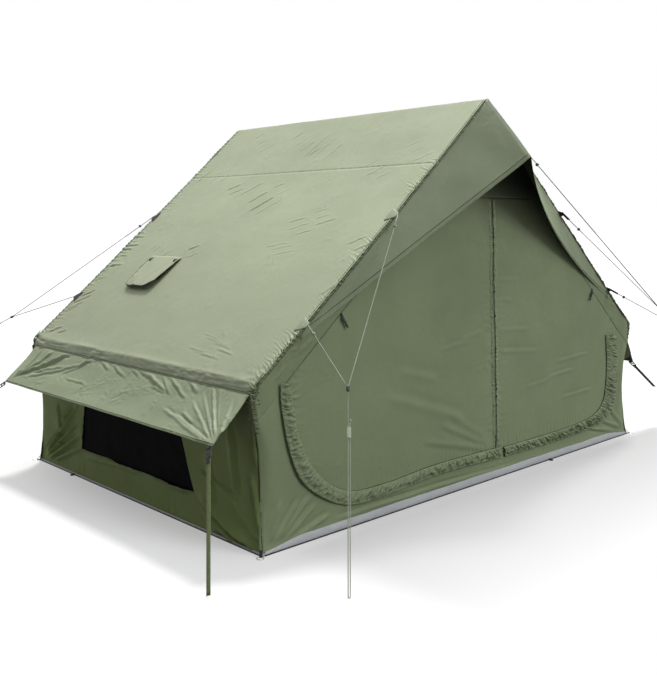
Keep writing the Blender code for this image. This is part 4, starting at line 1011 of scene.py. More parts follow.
def front_gable():
    """The chevron above the door, with the slanted seams and the seam over the door's head."""
    x = graded(-1.530, 1.530, 0.006, 0.011, 0.2, (-0.409, 0.0, 0.409))
    low = np.minimum(DOOR_HEAD, door_seam(x))
    points = front_at(*column_grid(x, low, upper_edge(x, GABLE_INSET), 28))
    obj = grid("front_gable_cloth", points, GABLE, "tent", "wall_fabric", ("front_gable",), flip=True)
    for side, sign in SIDES.items():
        x = sign * np.linspace(0.41, 1.39, 150)
        strip(f"{side}_door_top_seam", front_at(x, door_seam(x) + 0.006), TO_FRONT, 0.012, 0.0012, GABLE,
              "tent", "wall_fabric", 0.0006, 21, (-0.15,))
    x = np.linspace(-0.405, 0.405, 80)
    strip("door_head_seam", front_at(x, np.full(80, DOOR_HEAD + 0.007)), TO_FRONT, 0.014, 0.0012, GABLE,
          "tent", "wall_fabric", 0.0006, 22, (-0.5,))


def door_edge(side, count):
    """Half of the door's outline with X out, from the slanted seam to the bottom's middle."""
    corner = DOOR_CORNER[side]
    points = [(DOOR_HALF, door_seam(DOOR_HALF))]
    for t in np.linspace(0, math.pi / 2, 17):
        points.append((DOOR_HALF - corner + corner * math.cos(t), DOOR_SILL + corner - corner * math.sin(t)))
    return evenly(np.array(points + [(0.0, DOOR_SILL)]), count)[0]


SURROUND_X = 1.507
SURROUND_LOW = 0.008
SURROUND_TURN = 0.36


def surround_half(side, count):
    """Rows from the door's edge out to the wall, the eave and the floor, with X out."""
    inner = door_edge(side, count)
    centre_x = DOOR_HALF - DOOR_CORNER[side]
    centre_z = DOOR_SILL + DOOR_CORNER[side]
    outer = []
    for x, z in inner:
        share = (z - centre_z) / (inner[0, 1] - centre_z)
        height = SURROUND_TURN + (door_seam(1.5317) - SURROUND_TURN) * share
        if z <= centre_z:
            turn = math.atan2(centre_z - z, x - centre_x) / (math.pi / 2) * 2
            height = SURROUND_TURN * (1 - turn) + SURROUND_LOW * turn
        if z > centre_z or (x > centre_x and turn < 1):
            outer.append((wall_x(height, 0.003), height))
        elif x > centre_x:
            outer.append((SURROUND_X + (centre_x - SURROUND_X) * (turn - 1), SURROUND_LOW))
        else:
            outer.append((x, SURROUND_LOW))
    t = np.linspace(0, 1, 24)[:, None, None]
    return inner[None] * (1 - t) + np.array(outer)[None] * t


def front_surround():
    """The wall beside and below the door."""
    left = surround_half("left", 190) * np.array((-1, 1))
    right = surround_half("right", 190)
    full = np.concatenate((left, right[:, ::-1][:, 1:]), 1)
    points = front_at(full[..., 0], full[..., 1])
    obj = grid("front_surround_cloth", points, WALL, "tent", "wall_fabric", ("front_surround",), flip=True)


def door_leaf(side):
    """A door leaf's cloth, from the zip to the door's edge."""
    sign = SIDES[side]
    corner = DOOR_CORNER[side]
    t = np.linspace(0, 1, 150)
    t = t - 0.25 * t * (1 - t) * (1 - t)
    rows = np.linspace(0, 1, 120)[:, None]
    x = np.broadcast_to(t * DOOR_HALF, (120, 150))
    for _ in range(6):
        inner_x = np.clip(np.abs(x), 0, DOOR_HALF)
        drop = np.sqrt(np.maximum(corner ** 2 - (inner_x - DOOR_HALF + corner) ** 2, 0))
        low = np.where(inner_x > DOOR_HALF - corner, DOOR_SILL + corner - drop, DOOR_SILL)
        z = low * (1 - rows) + np.minimum(DOOR_HEAD, door_seam(x)) * rows
        start = sign * zip_x(z)
        x = start + (DOOR_HALF - start) * t
    obj = grid(f"{side}_leaf_cloth", front_at(sign * x, z, -0.0003), WALL, f"{side}_door", "wall_fabric",
               (f"{side}_door_leaf",), flip=sign > 0)


# The ruffled band's outer and inner edges, read off the photograph.
BAND_OUTER = {
    "left": [(279, 383), (280, 403), (284, 430), (289, 452), (296, 472), (305, 485), (320, 496), (338, 503),
             (358, 503), (391, 492), (440, 473), (499, 457)],
    "right": [(503, 456), (553, 441), (584, 430), (602, 420), (611, 406), (615, 386), (616, 360), (615, 335)],
}
BAND_INNER = {
    "left": [(291, 383), (292, 402), (296, 425), (301, 444), (309, 462), (318, 474), (331, 485), (345, 490),
             (360, 490), (391, 481), (440, 463), (499, 447)],
    "right": [(503, 447), (550, 433), (578, 423), (594, 414), (602, 402), (605, 386), (606, 360), (605, 335)],
}


BAND_STEP = 0.0035


def door_band(side):
    """The gathered flap that covers the zip round a leaf's edge."""
    edges = (BAND_OUTER[side], BAND_INNER[side])
    outer, inner = (smooth_path([front_place(*p) for p in edge], BAND_STEP) for edge in edges)
    count = len(outer)
    places = np.linspace(0, 1, count)
    inner = np.stack([np.interp(places, np.linspace(0, 1, len(inner)), values) for values in inner.T], -1)
    distance = places * count * BAND_STEP
    rows = []
    for t in (-0.04, 0.0, 0.05, 0.12, 0.20, 0.28, 0.36, 0.44, 0.52, 0.60, 0.68, 0.76, 0.84, 0.91, 0.96, 1.0):
        x, z = (outer * (1 - t) + inner * t).T
        bent = distance / 0.018 + 0.8 * noise(distance / 0.05, t * 1.5, 60)
        gather = 1 - 3.2 * np.abs(noise(bent, t * 1.3, 61))
        gather += 0.6 * (1 - 3.2 * np.abs(noise(distance / 0.010, t * 2.2, 62)))
        crown = math.sin(math.pi * max(0, t)) ** 0.7 if t < 1 else 0.0
        lift = 0.0035 + 0.0100 * crown * (1 - 0.35 * t) + (0.006 if t < 0.1 else 0.0)
        lift += (0.0070 * gather * (0.30 + crown)) * (1 - 0.5 * (t > 0.95))
        base = np.maximum(front_push(x, z), 0)
        y = FRONT - base * 0.6 - np.maximum(lift, 0.001) + (0.0004 if t < 0 else 0)
        rows.append(np.stack((x, y, z), -1))
    edge = np.stack((inner[:, 0], FRONT - np.maximum(front_push(*inner.T), 0) - 0.0012, inner[:, 1]), -1)
    # The band's stitching as a near-black line, darkened as painted shade between the band and the leaf.
    tube(f"{side}_band_stitching", edge[::3], 0.0022, SEAM_AND_GROOVE_SHADE, f"{side}_door", "wall_fabric", 6)
    grid(f"{side}_door_ruffle", np.stack(rows, 0), BAND, f"{side}_door", "wall_fabric", (f"{side}_door_flap",),
         0.0012, flip=True)


def zip_edges():
    """Gathered edges of cloth on both sides of the centre zip, and its coil."""
    z = np.linspace(0.17, DOOR_HEAD - 0.01, 330)
    for side, near, far, high, seed in (("left", -0.0065, -0.024, 0.006, 71), ("right", 0.0085, 0.034, 0.0075, 72)):
        rows = []
        for t in (0, 0.12, 0.35, 0.6, 0.85, 1.0):
            lift = high * (1 - t) ** 0.6 * (0.35 + 1.5 * np.abs(noise(z / 0.022, 1.4 * t, 73)))
            x = zip_x(z) + near + (far - near) * t + 0.006 * noise(z / 0.05, 2.0 * t, seed) * (t > 0.2)
            rows.append(np.stack((x, FRONT - front_push(x, z) - lift - 0.0004, z), -1))
        points = np.stack(rows if side == "right" else rows[::-1], 0)
        grid(f"{side}_zip_edge", points, BAND, f"{side}_door", "wall_fabric", (), 0.0010, flip=True)
    x = zip_x(z)
    path = np.stack((x - 0.0035, FRONT - np.maximum(front_push(x, z), 0) * 0.5 + 0.0002, z), -1)
    # The zip coil as a near-black strip, partly the coil and partly painted shade in the gap between the leaves.
    strip("zip_coil", path, TO_FRONT, 0.007, 0.0012, SEAM_AND_GROOVE_SHADE, "left_door", "wall_fabric", 0.0, 74)


def rear_wall():
    """The rear gable's cloth with gathers at its corners and its centre seam."""
    x = graded(-1.532, 1.532, 0.010, 0.022, 0.2, (0.0,))
    low = (np.maximum(np.abs(x) - SURROUND_X, 0)) / LEAN_SLOPE + SURROUND_LOW
    x, z = column_grid(x, np.clip(low, SURROUND_LOW, 0.6), upper_edge(x, GABLE_INSET), 90)
    push = 0.003 * noise(x / 0.3, z / 0.25, 1200) + crumple(x, z, 0.4, 0.13, 0.022, 0.003, 0.22, 1210)
    push += puckers(z, wall_x(z) - np.abs(x), 0.022, 0.03, 0.006, 1220)
    slant = (roof_z(x) - z) * math.cos(PITCH)
    push += puckers(np.abs(x) / math.cos(PITCH), slant, 0.024, 0.035, 0.005, 1230)
    push += puckers(x, z - 0.03, 0.05, 0.04, 0.005, 1240)
    for sign in (-1, 1):
        for angle in np.radians((18, 32, 46, 60, 74)):
            end = (sign * (1.47 - 0.34 * math.cos(angle)), 0.05 + 0.34 * math.sin(angle))
            push += crease(x, z, (sign * 1.48, 0.04), end, 0.010, 0.005)
    along, inward = corner_turn(np.maximum(wall_x(z) - np.abs(x), 0), z, END_TURN)
    depth = BACK - 0.0005 + np.clip(push, -0.009, 0.01) - inward
    points = np.stack((x - np.sign(x) * along, depth, z), -1)
    obj = grid("rear_wall_cloth", points, WALL, "tent", "wall_fabric", ("rear_wall",))
    path = np.stack((np.zeros(140), np.full(140, BACK + 0.0005), np.linspace(0.02, 1.985, 140)), -1)
    strip("rear_seam", path, ACROSS, 0.014, 0.0015, SEAM, "tent", "wall_fabric", 0.001, 23)


front_gable()
front_surround()
for side_name in SIDES:
    door_leaf(side_name)
    door_band(side_name)
zip_edges()
rear_wall()


def eave_x(z):
    """Half-width of the side wall up to the eave and, above that, of the roof's round edge."""
    return wall_x(np.minimum(z, EAVE_Z)) - 0.9 * np.maximum(z - EAVE_Z - 0.01, 0)


def corner_seams():
    """The bound vertical seams where the walls meet the gables."""
    for side, sign in SIDES.items():
        for end, face in ENDS.items():
            z = np.linspace(0.012, SEAM_Z + 0.02, 120)
            wander = 0.0012 * noise(z / 0.05, 0.3, 81 if sign < 0 else 82)
            radius = corner_radius(z)
            for name, angle, lift in (("seam", 59.0, 0.0010), ("edge", 45.0, 0.0014), ("stitching", 80.0, 0.0006)):
                angle = math.radians(angle)
                out = np.array((sign * math.cos(angle), face * math.sin(angle), 0))
                x = sign * (wall_x(z) - 0.0025 - radius * (1 - math.cos(angle)) + wander)
                y = face * (BACK - 0.0015 - radius * (1 - math.sin(angle)))
                path = np.stack((x, y, z), -1) + out * lift
                if name == "seam":
                    strip(f"{end}_{side}_corner_seam", path, out, 0.026, 0.0022, WALL, "tent", "wall_fabric",
                          0.0008, 83 + sign)
                else:
                    # The corner's edge and stitching lines are near black, as painted shade in the seam's grooves.
                    bulk = 0.0026 if name == "edge" else 0.0013 * (1 - soft_step(z, 0.45, 0.62)) + 0.0002
                    tube(f"{end}_{side}_corner_{name}", path, bulk, SEAM_AND_GROOVE_SHADE, "tent", "wall_fabric", 6)
            z = np.linspace(0.50, 0.780, 70)
            bend = 0.3 * corner_radius(z)
            path = np.stack((sign * (eave_x(z) - 0.010 - bend), face * (BACK - 0.002 - bend), z), -1)
            path = path + 0.004 * np.stack([noise(z / 0.018, 0.5, 86 + k) for k in range(3)], -1)
            bulk = 0.004 + 0.010 * np.abs(noise(z / 0.014, 0.5, 89))
            bulk = bulk * np.clip(np.sin((z - 0.497) / 0.286 * math.pi), 0.02, 1) ** 0.6
            tube(f"{end}_{side}_corner_bunch", path, bulk, SEAM, "tent", "wall_fabric", 9)
            rng = np.random.default_rng(88)
            for k in range(16 if end == "front" else 0):
                height = 0.535 + 0.0125 * k + rng.normal(0, 0.004)
                reach = rng.uniform(0.020, 0.055, 2)
                drop = rng.uniform(-0.012, 0.028, 2)
                middle = eave_x(height)
                bend = float(corner_radius(height)) * 0.3
                pleat = smooth_path([
                    (sign * (middle - bend * 0.3), face * (BACK - bend - reach[0]), height + drop[0]),
                    (sign * (middle - bend), face * (BACK - bend), height),
                    (sign * (middle - bend - reach[1]), face * (BACK - bend * 0.3), height - drop[1]),
                ], 0.004)
                swell = 0.0016 + 0.0030 * np.sin(np.linspace(0.05, 0.95, len(pleat)) * math.pi)
                tube(f"{end}_{side}_corner_pleat_{k}", pleat, swell, (HEM, SEAM)[k % 2], "tent",
                     "wall_fabric", 6)


corner_seams()


# Visor
VISOR_FALL = 0.31
VISOR_BELLY_X = VISOR_END_X * 0.383
VISOR_BELLY_FALL = 0.29


def visor_at(u, v):
    """Points of the visor: u runs from end to end, v from the roof's edge to the hem."""
    share = np.abs(u)
    seam_inset = 2 * SHEET + 2 * GAP
    top = np.stack((VISOR_END_X * share, np.full_like(share, FRONT - 0.001),
                    RIDGE_Z - SLOPE * VISOR_END_X * share - seam_inset / math.cos(PITCH) + 0.002), -1)
    belly = np.array((VISOR_BELLY_X, FRONT - 0.005, RIDGE_Z - SLOPE * VISOR_BELLY_X - VISOR_BELLY_FALL))
    end_z = RIDGE_Z - SLOPE * VISOR_END_X - seam_inset / math.cos(PITCH) - 0.03
    end = np.array((VISOR_END_X, FRONT - 0.0015, end_z))
    rest = (1 - share)[..., None]
    s = share[..., None]
    low = np.array(VISOR_TIP) * rest ** 2 + belly * 2 * rest * s + end * s ** 2
    points = top * (1 - v[..., None]) + low * v[..., None]
    points[..., 0] *= np.sign(u)
    return points


def visor():
    """The visor's cloth with near-black painted shade on its inner face, and its hem."""
    u = graded(-1.0, 1.0, 0.010, 0.014, 0.2, (0.0,))
    v = np.linspace(0, 1, 34)
    gv, gu = np.meshgrid(v, u, indexing="ij")
    points = visor_at(gu, gv)
    normal = unit(np.cross(np.gradient(points, axis=1), np.gradient(points, axis=0)))
    flip = np.sign(-normal[..., 1:2])
    normal = normal * np.where(flip == 0, 1, flip)
    along = np.abs(gu) * VISOR_END_X / math.cos(PITCH)
    fall = VISOR_FALL * (1 - np.abs(gu))
    depth = gv * fall
    place = along + (gu > 0) * 3.0
    push = puckers(place, depth, 0.024, 0.03, 0.003, 400)
    push += puckers(place, fall - depth, 0.030, 0.02, 0.0022, 410)
    push += 0.003 * noise(along / 0.25 + (gu > 0) * 7, depth / 0.12, 420) * np.sin(gv * math.pi)
    push = push - 0.008 * np.sin(gv * math.pi) * (1 - np.abs(gu)) * np.minimum(1, np.abs(gu) * 8)
    push += crumple(place, depth, 0.6, 0.09, 0.02, 0.002, 0.2, 430)
    push = push * np.minimum(1, (1 - np.abs(gu)) * 12)
    points = points + normal * push[..., None]
    # The grid's own faces, the visor's inner side, show near-black painted shade; the solidified faces show the
    # visor cloth.
    obj = grid("visor_cloth", points, PAINTED_UNDERSIDE_SHADE, "tent", "awning_fabric", ("visor",))
    obj.data.materials.append(VISOR)
    obj.modifiers["cloth"].material_offset = 1
    obj.modifiers["cloth"].material_offset_rim = 1
    for side, sign in SIDES.items():
        share = np.linspace(0.004, 0.992, 150)
        for name, width, stitches in (("hem", 0.012, (-0.5,)), ("edge", 0.005, ())):
            v = share * 0 + 0.995 if name == "edge" else 1 - 0.012 / (0.012 + VISOR_FALL * (1 - share))
            path = visor_at(sign * share, v)
            normal = unit(np.cross(np.gradient(path, axis=0), path - visor_at(sign * share, v * 0)))
            normal *= np.where(normal[:, 1:2] > 0, -1, 1)
            strip(f"{side}_visor_{name}", path, normal, width, 0.0014, VISOR, "tent", "awning_fabric",
                  0.0008, 24 + len(name), stitches)


visor()


# Awnings
def awning_frame(side):
    """An awning's hinge point at Y 0, its way down the cloth and its normal."""
    sign = SIDES[side]
    drop = AWNING_DROP[side]
    hinge = np.array((sign * (wall_x(SEAM_Z) + GAP + 0.001), 0, SEAM_Z))
    run = np.array((sign * math.cos(drop), 0, -math.sin(drop)))
    above = np.array((-sign * run[2], 0, sign * run[0]))
    return hinge, run, above


LEFT_HINGE, LEFT_RUN, LEFT_ABOVE = awning_frame("left")
ROOT_LIFT = 0.013
ROOT_IN = 0.003


def awning_place(a, b):
    """Distance from the hinge and Y on the left awning under a pixel of the photograph."""
    hit = seen_at(a, b, Vector(LEFT_HINGE), Vector(LEFT_ABOVE))
    return float((np.array(hit) - LEFT_HINGE).dot(LEFT_RUN)), hit.y


AWNING_CREASES = [
    ((12, 377), (84, 351), 12, 9), ((12, 377), (60, 350), 10, 5), ((14, 378), (52, 343), 10, 4),
    ((20, 378), (118, 358), 10, 4), ((60, 374), (94, 362), 9, 3), ((64, 378), (84, 384), 7, 3),
    ((128, 364), (170, 394), 9, 5), ((136, 362), (158, 386), 8, 4), ((120, 358), (140, 380), 8, 3),
    ((150, 386), (166, 394), 6, 4), ((180, 372), (198, 396), 8, 4), ((186, 378), (196, 392), 6, 3),
    ((211, 444), (192, 400), 8, 4), ((213, 443), (203, 392), 6, 4), ((215, 438), (213, 382), 7, 7),
    ((217, 430), (221, 388), 5, 3), ((211, 444), (172, 412), 8, 5), ((206, 444), (160, 406), 9, 4),
    ((90, 352), (110, 372), 8, 5), ((100, 354), (126, 380), 7, 4), ((146, 360), (176, 384), 8, 5),
    ((30, 372), (66, 366), 8, 4), ((170, 380), (186, 400), 7, 5), ((160, 372), (170, 396), 6, 4),
    ((218, 440), (234, 400), 9, 4), ((182, 412), (192, 424), 7, 4), ((196, 384), (206, 384), 6, 2),
]


def awning_push(side, a, y):
    """How far an awning's cloth stands off its CAD face."""
    seed = 1400 if side == "left" else 1500
    share = a / AWNING_DEPTH
    push = -0.016 * share * np.cos(y / AWNING_HALF * math.pi / 2) ** 0.8
    push += 0.0035 * noise(a / 0.12, y / 0.20, seed) * soft_step(a, 0, 0.04)
    push += crumple(a, y, 1.1, 0.09, 0.020, 0.004, 0.35, seed + 10) * soft_step(a, 0, 0.03)
    push += crumple(a, y, 0.3, 0.07, 0.016, 0.003, 0.25, seed + 20) * soft_step(a, 0, 0.03)
    push += puckers(y, a, 0.035, 0.035, 0.0040, seed + 30) * soft_step(a, 0, 0.01)
    push += puckers(y, AWNING_DEPTH - a, 0.04, 0.02, 0.0022, seed + 40)
    if side == "left":
        waver = 0.007 * noise(a / 0.055, y / 0.055, seed + 60)
        return push + creases(a + waver, y - waver, AWNING_CREASES, awning_place, 0.75, 1.6)
    for end in (-1, 1):
        for angle in np.radians((12, 26, 40, 54, 68, 82)):
            far = (AWNING_DEPTH - 0.24 * math.sin(angle), end * (AWNING_HALF - 0.02 - 0.34 * math.cos(angle)))
            push += crease(a, y, (AWNING_DEPTH - 0.004, end * (AWNING_HALF - 0.012)), far, 0.010, 0.006)
    return push


def awning_at(side, a, y):
    """Points on an awning's cloth."""
    a, y = np.broadcast_arrays(np.asarray(a, float), np.asarray(y, float))
    hinge, run, above = awning_frame(side)
    bow = -0.008 * np.cos(y / AWNING_HALF * math.pi / 2) * a / AWNING_DEPTH
    push = awning_push(side, a, y) * soft_step(a, -0.001, 0.02)
    root = np.exp(-(a / 0.045) ** 2)[..., None] * np.array((-SIDES[side] * ROOT_IN, 0, ROOT_LIFT))
    return hinge + (a + bow)[..., None] * run + push[..., None] * above + y[..., None] * ACROSS + root


def awning(side):
    """An awning's cloth with its hems."""
    body = f"{side}_awning"
    above = awning_frame(side)[2]
    a, y = np.meshgrid(np.linspace(0, AWNING_DEPTH, 44), graded(-AWNING_HALF, AWNING_HALF, 0.006, 0.009, 0.3),
                       indexing="ij")
    obj = grid(f"{side}_awning_cloth", awning_at(side, a, y), AWNING, body, "awning_fabric", (f"{side}_awning",),
               flip=side == "left")
    y = np.linspace(-AWNING_HALF + 0.001, AWNING_HALF - 0.001, 160)
    hems = (("hem", 0.014, 0.010, AWNING, (0.5,)), ("edge", 0.0025, 0.005, SEAM, ()))
    for name, inset, width, look, stitches in hems:
        strip(f"{side}_awning_{name}", awning_at(side, AWNING_DEPTH - inset, y), above, width, 0.0014, look, body,
              "awning_fabric", 0.0006, 41, stitches)
    reach = np.linspace(0.004, AWNING_DEPTH - 0.002, 34)
    for end, face in ENDS.items():
        path = awning_at(side, reach, face * (AWNING_HALF - 0.004))
        strip(f"{end}_{side}_awning_side_hem", path, above, 0.008, 0.0014, SEAM, body, "awning_fabric", 0.0008, 42)


for side_name in SIDES:
    awning(side_name)


# Groundsheet
END_RIM = ((0.0012, 0.0), (0.006, 0.0025), (0.016, 0.0045), (0.027, 0.0040), (0.036, 0.0022), (0.040, 0.0008),
           (0.0395, -0.0006))
SIDE_RIM = ((0.0012, 0.0), (0.004, 0.0020), (0.009, 0.0022), (0.0125, 0.0008), (0.0122, -0.0006))


def ground():
    """The tub floor: a flat sheet, a short puckered rim at the ends and low side rims, and webbing loops."""
    half_x = wall_x(0.012) + 0.0023
    half_y = BACK + 0.0023
    x = graded(-half_x, half_x, 0.02, 0.05, 0.2)
    y = graded(-half_y, half_y, 0.02, 0.05, 0.2)
    gx, gy = np.meshgrid(x, y, indexing="ij")
    floor = np.stack((gx, gy, 0.0026 + 0.0010 * noise(gx / 0.15, gy / 0.15, 1700)), -1)
    obj = grid("floor_tub", floor, SILVER, "tent", "floor_sheet", ("groundsheet",), 0.0022, flip=True)
    for end, face in ENDS.items():
        x = np.linspace(-half_x + 0.001, half_x - 0.001, 300)
        rows = []
        taper = np.clip((half_x - np.abs(x)) / 0.05, 0.1, 1)
        tall = 0.40 + 0.60 * soft_step(half_x - np.abs(x), 0.0, 0.25)
        for z, out in END_RIM:
            wave = 0.0022 * noise(x / 0.055, z / 0.03, 1710) + 0.0012 * noise(x / 0.02, z / 0.02, 1711)
            slump = 0.0025 * noise(x / 0.20, 0.5, 1712) * (z > 0.02)
            y = face * (half_y + (out + wave * (out > 0)) * taper)
            rows.append(np.stack((x, y, (z + slump) * tall), -1))
        rim = grid(f"{end}_rim", np.stack(rows, 0), SILVER, "tent", "floor_sheet", (), 0.0009, flip=face > 0)
        path = np.stack((x[1:-1], np.full(298, face * (half_y + 0.0035)), np.full(298, 0.0032)), -1)
        tube(f"{end}_hem_cord", path[::3], 0.0030, BLACK_WEB, "tent", "floor_sheet", 6)
    for side, sign in SIDES.items():
        y = np.linspace(-half_y + 0.001, half_y - 0.001, 220)
        rows = []
        for z, out in SIDE_RIM:
            wave = 0.0010 * noise(y / 0.05, z / 0.01, 1720)
            x = sign * (half_x + out + wave * (out > 0))
            rows.append(np.stack((x, y, np.full_like(y, z)), -1))
        grid(f"{side}_rim", np.stack(rows, 0), SILVER, "tent", "floor_sheet", (), 0.0008, flip=sign < 0)
        path = np.stack((np.full(220, sign * (half_x + 0.003)), y, np.full(220, 0.0028)), -1)
        tube(f"{side}_hem_cord", path[::3], 0.0027, BLACK_WEB, "tent", "floor_sheet", 6)
    edge_x = half_x + HEM_OUT["side"]
    edge_y = half_y + HEM_OUT["end"]
    for name, x, y, way in (("left", -edge_x, 0.62, (-1, 0, 0)), ("right", edge_x, 0.62, (1, 0, 0)),
                            ("front", 0.62, -edge_y, (0, -1, 0)), ("rear", 0.0, edge_y, (0, 1, 0))):
        out = np.array(way, float)
        path = [np.array((x, y, 0.004 + rise)) + out * reach for reach, rise in
                ((-0.004, 0.004), (0.008, 0.003), (0.020, 0), (0.026, -0.0015), (0.020, -0.0028), (0, -0.0026))]
        flat_band(f"{name}_middle_loop", smooth_path(path, 0.003), np.cross((0, 0, 1), out), 0.020, 0.0014,
                  BLACK_WEB, "tent", "black_plastic")


WEB_AT = (1.5128, 1.0398)
EYE_OUT = 0.036


def corner_fittings():
    """Black webbing folded through each corner's peg ring."""
    for end, face in ENDS.items():
        for side, sign in SIDES.items():
            outward = np.array((sign, face, 0)) / math.sqrt(2)
            width = np.cross((0, 0, 1), outward)
            corner = np.array((sign * WEB_AT[0], face * WEB_AT[1], 0))
            places = [(0.018, 0.027), (0.024, 0.021), (0.028, 0.015), (0.032, 0.0105)]
            for k in range(9):
                angle = math.pi / 2 - math.pi * k / 8
                places.append((EYE_OUT + 0.0040 * math.cos(angle), 0.0050 + 0.0034 * math.sin(angle)))
            places += [(0.018, 0.0022), (0.004, 0.0022)]
            path = smooth_path([corner + outward * reach + (0, 0, z) for reach, z in places], 0.004)
            flat_band(f"{end}_{side}_corner_web", path, width, 0.014, 0.0014, BLACK_WEB, "tent", "black_plastic")


ground()
corner_fittings()


# Air frame
def rounded(corners, bends, steps):
    """A path through corners, each rounded by its bend radius."""
    path = [corners[0]]
    for index in range(1, len(corners) - 1):
        before = (corners[index - 1] - corners[index]).normalized()
        after = (corners[index + 1] - corners[index]).normalized()
        half = before.angle(after) / 2
        radius = bends[index - 1]
        centre = corners[index] + (before + after).normalized() * radius / math.sin(half)
        start = corners[index] + before * radius / math.tan(half) - centre
        end = corners[index] + after * radius / math.tan(half) - centre
        for part in range(steps + 1):
            path.append(centre + start.normalized().slerp(end.normalized(), part / steps) * radius)
    path.append(corners[-1])
    return path


COVER_R = 0.0650
BAG_R = 0.0625
BEAM_HALF = 0.915


def air_tube(name, path, distance, seed, ends, trim, upright):
    """An inflated sleeve, a little uneven, and the bladder in it."""
    swell = (COVER_R - 0.0012 * np.abs(noise(distance / 0.05, 0.5, seed))) * ends
    tube(f"{name}_cover", path, swell, SLEEVE, "tent", "sleeve_fabric", 28, (f"{name}_sleeve",), upright=upright)
    tube(f"{name}_bag", path[trim:-trim], BAG_R, FILM, "tent", "bladder_film", 24, (f"{name}_bladder",),
         upright=upright)


def air_frame():
    """The two arches and the three level beams between them."""
    foot = 0.0045
    apex = RIDGE_Z - EAVE_R / math.cos(PITCH)
    left = [Vector((-wall_x(foot, EAVE_R), 0, foot)), Vector((-EAVE_CX, 0, EAVE_CZ))]
    right = [Vector((-p.x, 0, p.z)) for p in reversed(left)]
    arch = rounded(left + [Vector((0, 0, apex))] + right, (0.13, 0.12, 0.13), 10)
    arch, distance = resample([tuple(p) for p in arch], 0.03)
    for end, face in ENDS.items():
        air_tube(f"{end}_arch", arch + (0, face * (BACK - SHEET - GAP - BEAM_R), 0), distance, 1800, 1, 1, ACROSS)
    y = np.linspace(-BEAM_HALF, BEAM_HALF, 62)
    ends = np.clip(1 - 0.35 * (np.abs(y) / BEAM_HALF) ** 30, 0, 1)
    top = max(arch[:, 2])
    for name, x, z in (("ridge", 0.0, top), ("left_eave", -EAVE_CX, EAVE_CZ), ("right_eave", EAVE_CX, EAVE_CZ)):
        path = np.stack((np.full_like(y, x), y, np.full_like(y, z)), -1)
        air_tube(f"{name}_beam", path, y, 1810, ends, 2, (0, 0, 1))


air_frame()


# Lines and straps
CORD_R = 0.002
CORD_LOOKS = {"pale_cord": PALE_CORD, "dark_cord": DARK_CORD, "black_plastic": BLACK}
TAB_X = {"upper": 0.69, "lower": 1.25}
TAB_REACH = 0.0205
TAB_BACK = 0.034
TAB_TIP_HALF = 0.0095
JOINS = {
    "front_left": Vector((-1.286, -1.3375, 0.732)),
    "rear_left": Vector((-1.473, 1.4625, 0.822)),
    "front_right": Vector((1.38, -1.4375, 0.75)),
}
FRONT_LEFT_GROUND = Vector((-1.553, -1.6085, 0.0102))
REAR_LEFT_END = Vector((-1.529, 1.5195, 0.782))
TIP_END = Vector((0.0, -2.0275, 0.98))
LINE_ASIDE = 0.012
TENSIONER_DOWN = 0.185
KNOT_SIZE = 0.0042
SLIP_KNOT_SIZE = 0.0065


def tab_end(side, end, x, toward):
    """Where a line towards a point leaves the webbing tab on the roof's edge."""
    tip = Vector((SIDES[side] * x, ENDS[end] * (BACK + 0.02), float(roof_z(x, SHEET / 2))))
    slant = math.sqrt(1 - (toward - tip).normalized().y ** 2)
    return tip + Vector((0, ENDS[end] * (0.0005 + CORD_R * slant), 0))


def branch_end(start, join, through):
    """Where a branch from a start meets the side of the line that runs through the join."""
    back = (start - join).normalized()
    angle = back.angle((through - join).normalized())
    reach = CORD_R + 0.0005 + CORD_R * math.cos(angle)
    return join + back * reach / math.sin(angle)


def line(name, node, stations, slot):
    """A taut line as a braided tube, with a stopper knot at its far end."""
    stations = [np.array(p) for p in stations]
    points = [stations[0]]
    for first, second in zip(stations, stations[1:]):
        count = max(1, int(round(np.linalg.norm(second - first) / 0.04)))
        for k in range(count):
            points.append(first + (second - first) * (k + 1) / count)
    points = np.array(points)
    obj = tube(name, points, CORD_R, CORD_LOOKS[slot], "tent", slot, 8, (node,))
    knot(f"{name}_knot", points[-1], points[-1] - points[-2], slot, KNOT_SIZE)


def knot(name, centre, along, slot, size):
    """A small overhand knot: a trefoil tube drawn tight round the line."""
    centre = np.asarray(centre, float)
    along = np.asarray(along, float) / np.linalg.norm(along)
    side = np.array(Vector(along).orthogonal().normalized())
    third = np.cross(along, side)
    path = []
    for k in range(36):
        t = math.tau * k / 36
        ring = (math.sin(t) + 2 * math.sin(2 * t)) / 3
        lift = (math.cos(t) - 2 * math.cos(2 * t)) / 3
        path.append(centre + side * ring * size + third * lift * size - along * math.sin(3 * t) * size * 0.7)
    tube(name, path, size * 0.42, CORD_LOOKS[slot], "tent", slot, 7, closed=True)


def bead(name, centre, along, size):
    """A barrel-shaped slider on a line."""
    centre = np.asarray(centre, float)
    along = np.asarray(along, float) / np.linalg.norm(along)
    t = np.linspace(-1, 1, 11)
    path = centre + along * (t * size * 1.6)[:, None]
    radius = size * np.sqrt(np.maximum(1 - (t * 0.93) ** 4, 0.02))
    tube(name, path, radius, BLACK, "tent", "black_plastic")


def front_left_end(join):
    """The front-left line's last stations: round its ground point and back up to the tensioner."""
    down = (FRONT_LEFT_GROUND - join).normalized()
    aside = down.cross(Vector((0, 1, 0))).normalized() * LINE_ASIDE
    stations = []
    for step in range(7):
        angle = math.pi * step / 6
        stations.append(FRONT_LEFT_GROUND + aside * (1 - math.cos(angle)) / 2 + down * math.sin(angle) * 0.006)
    return stations + [join + down * (TENSIONER_DOWN - 0.021 - 0.03) + aside]


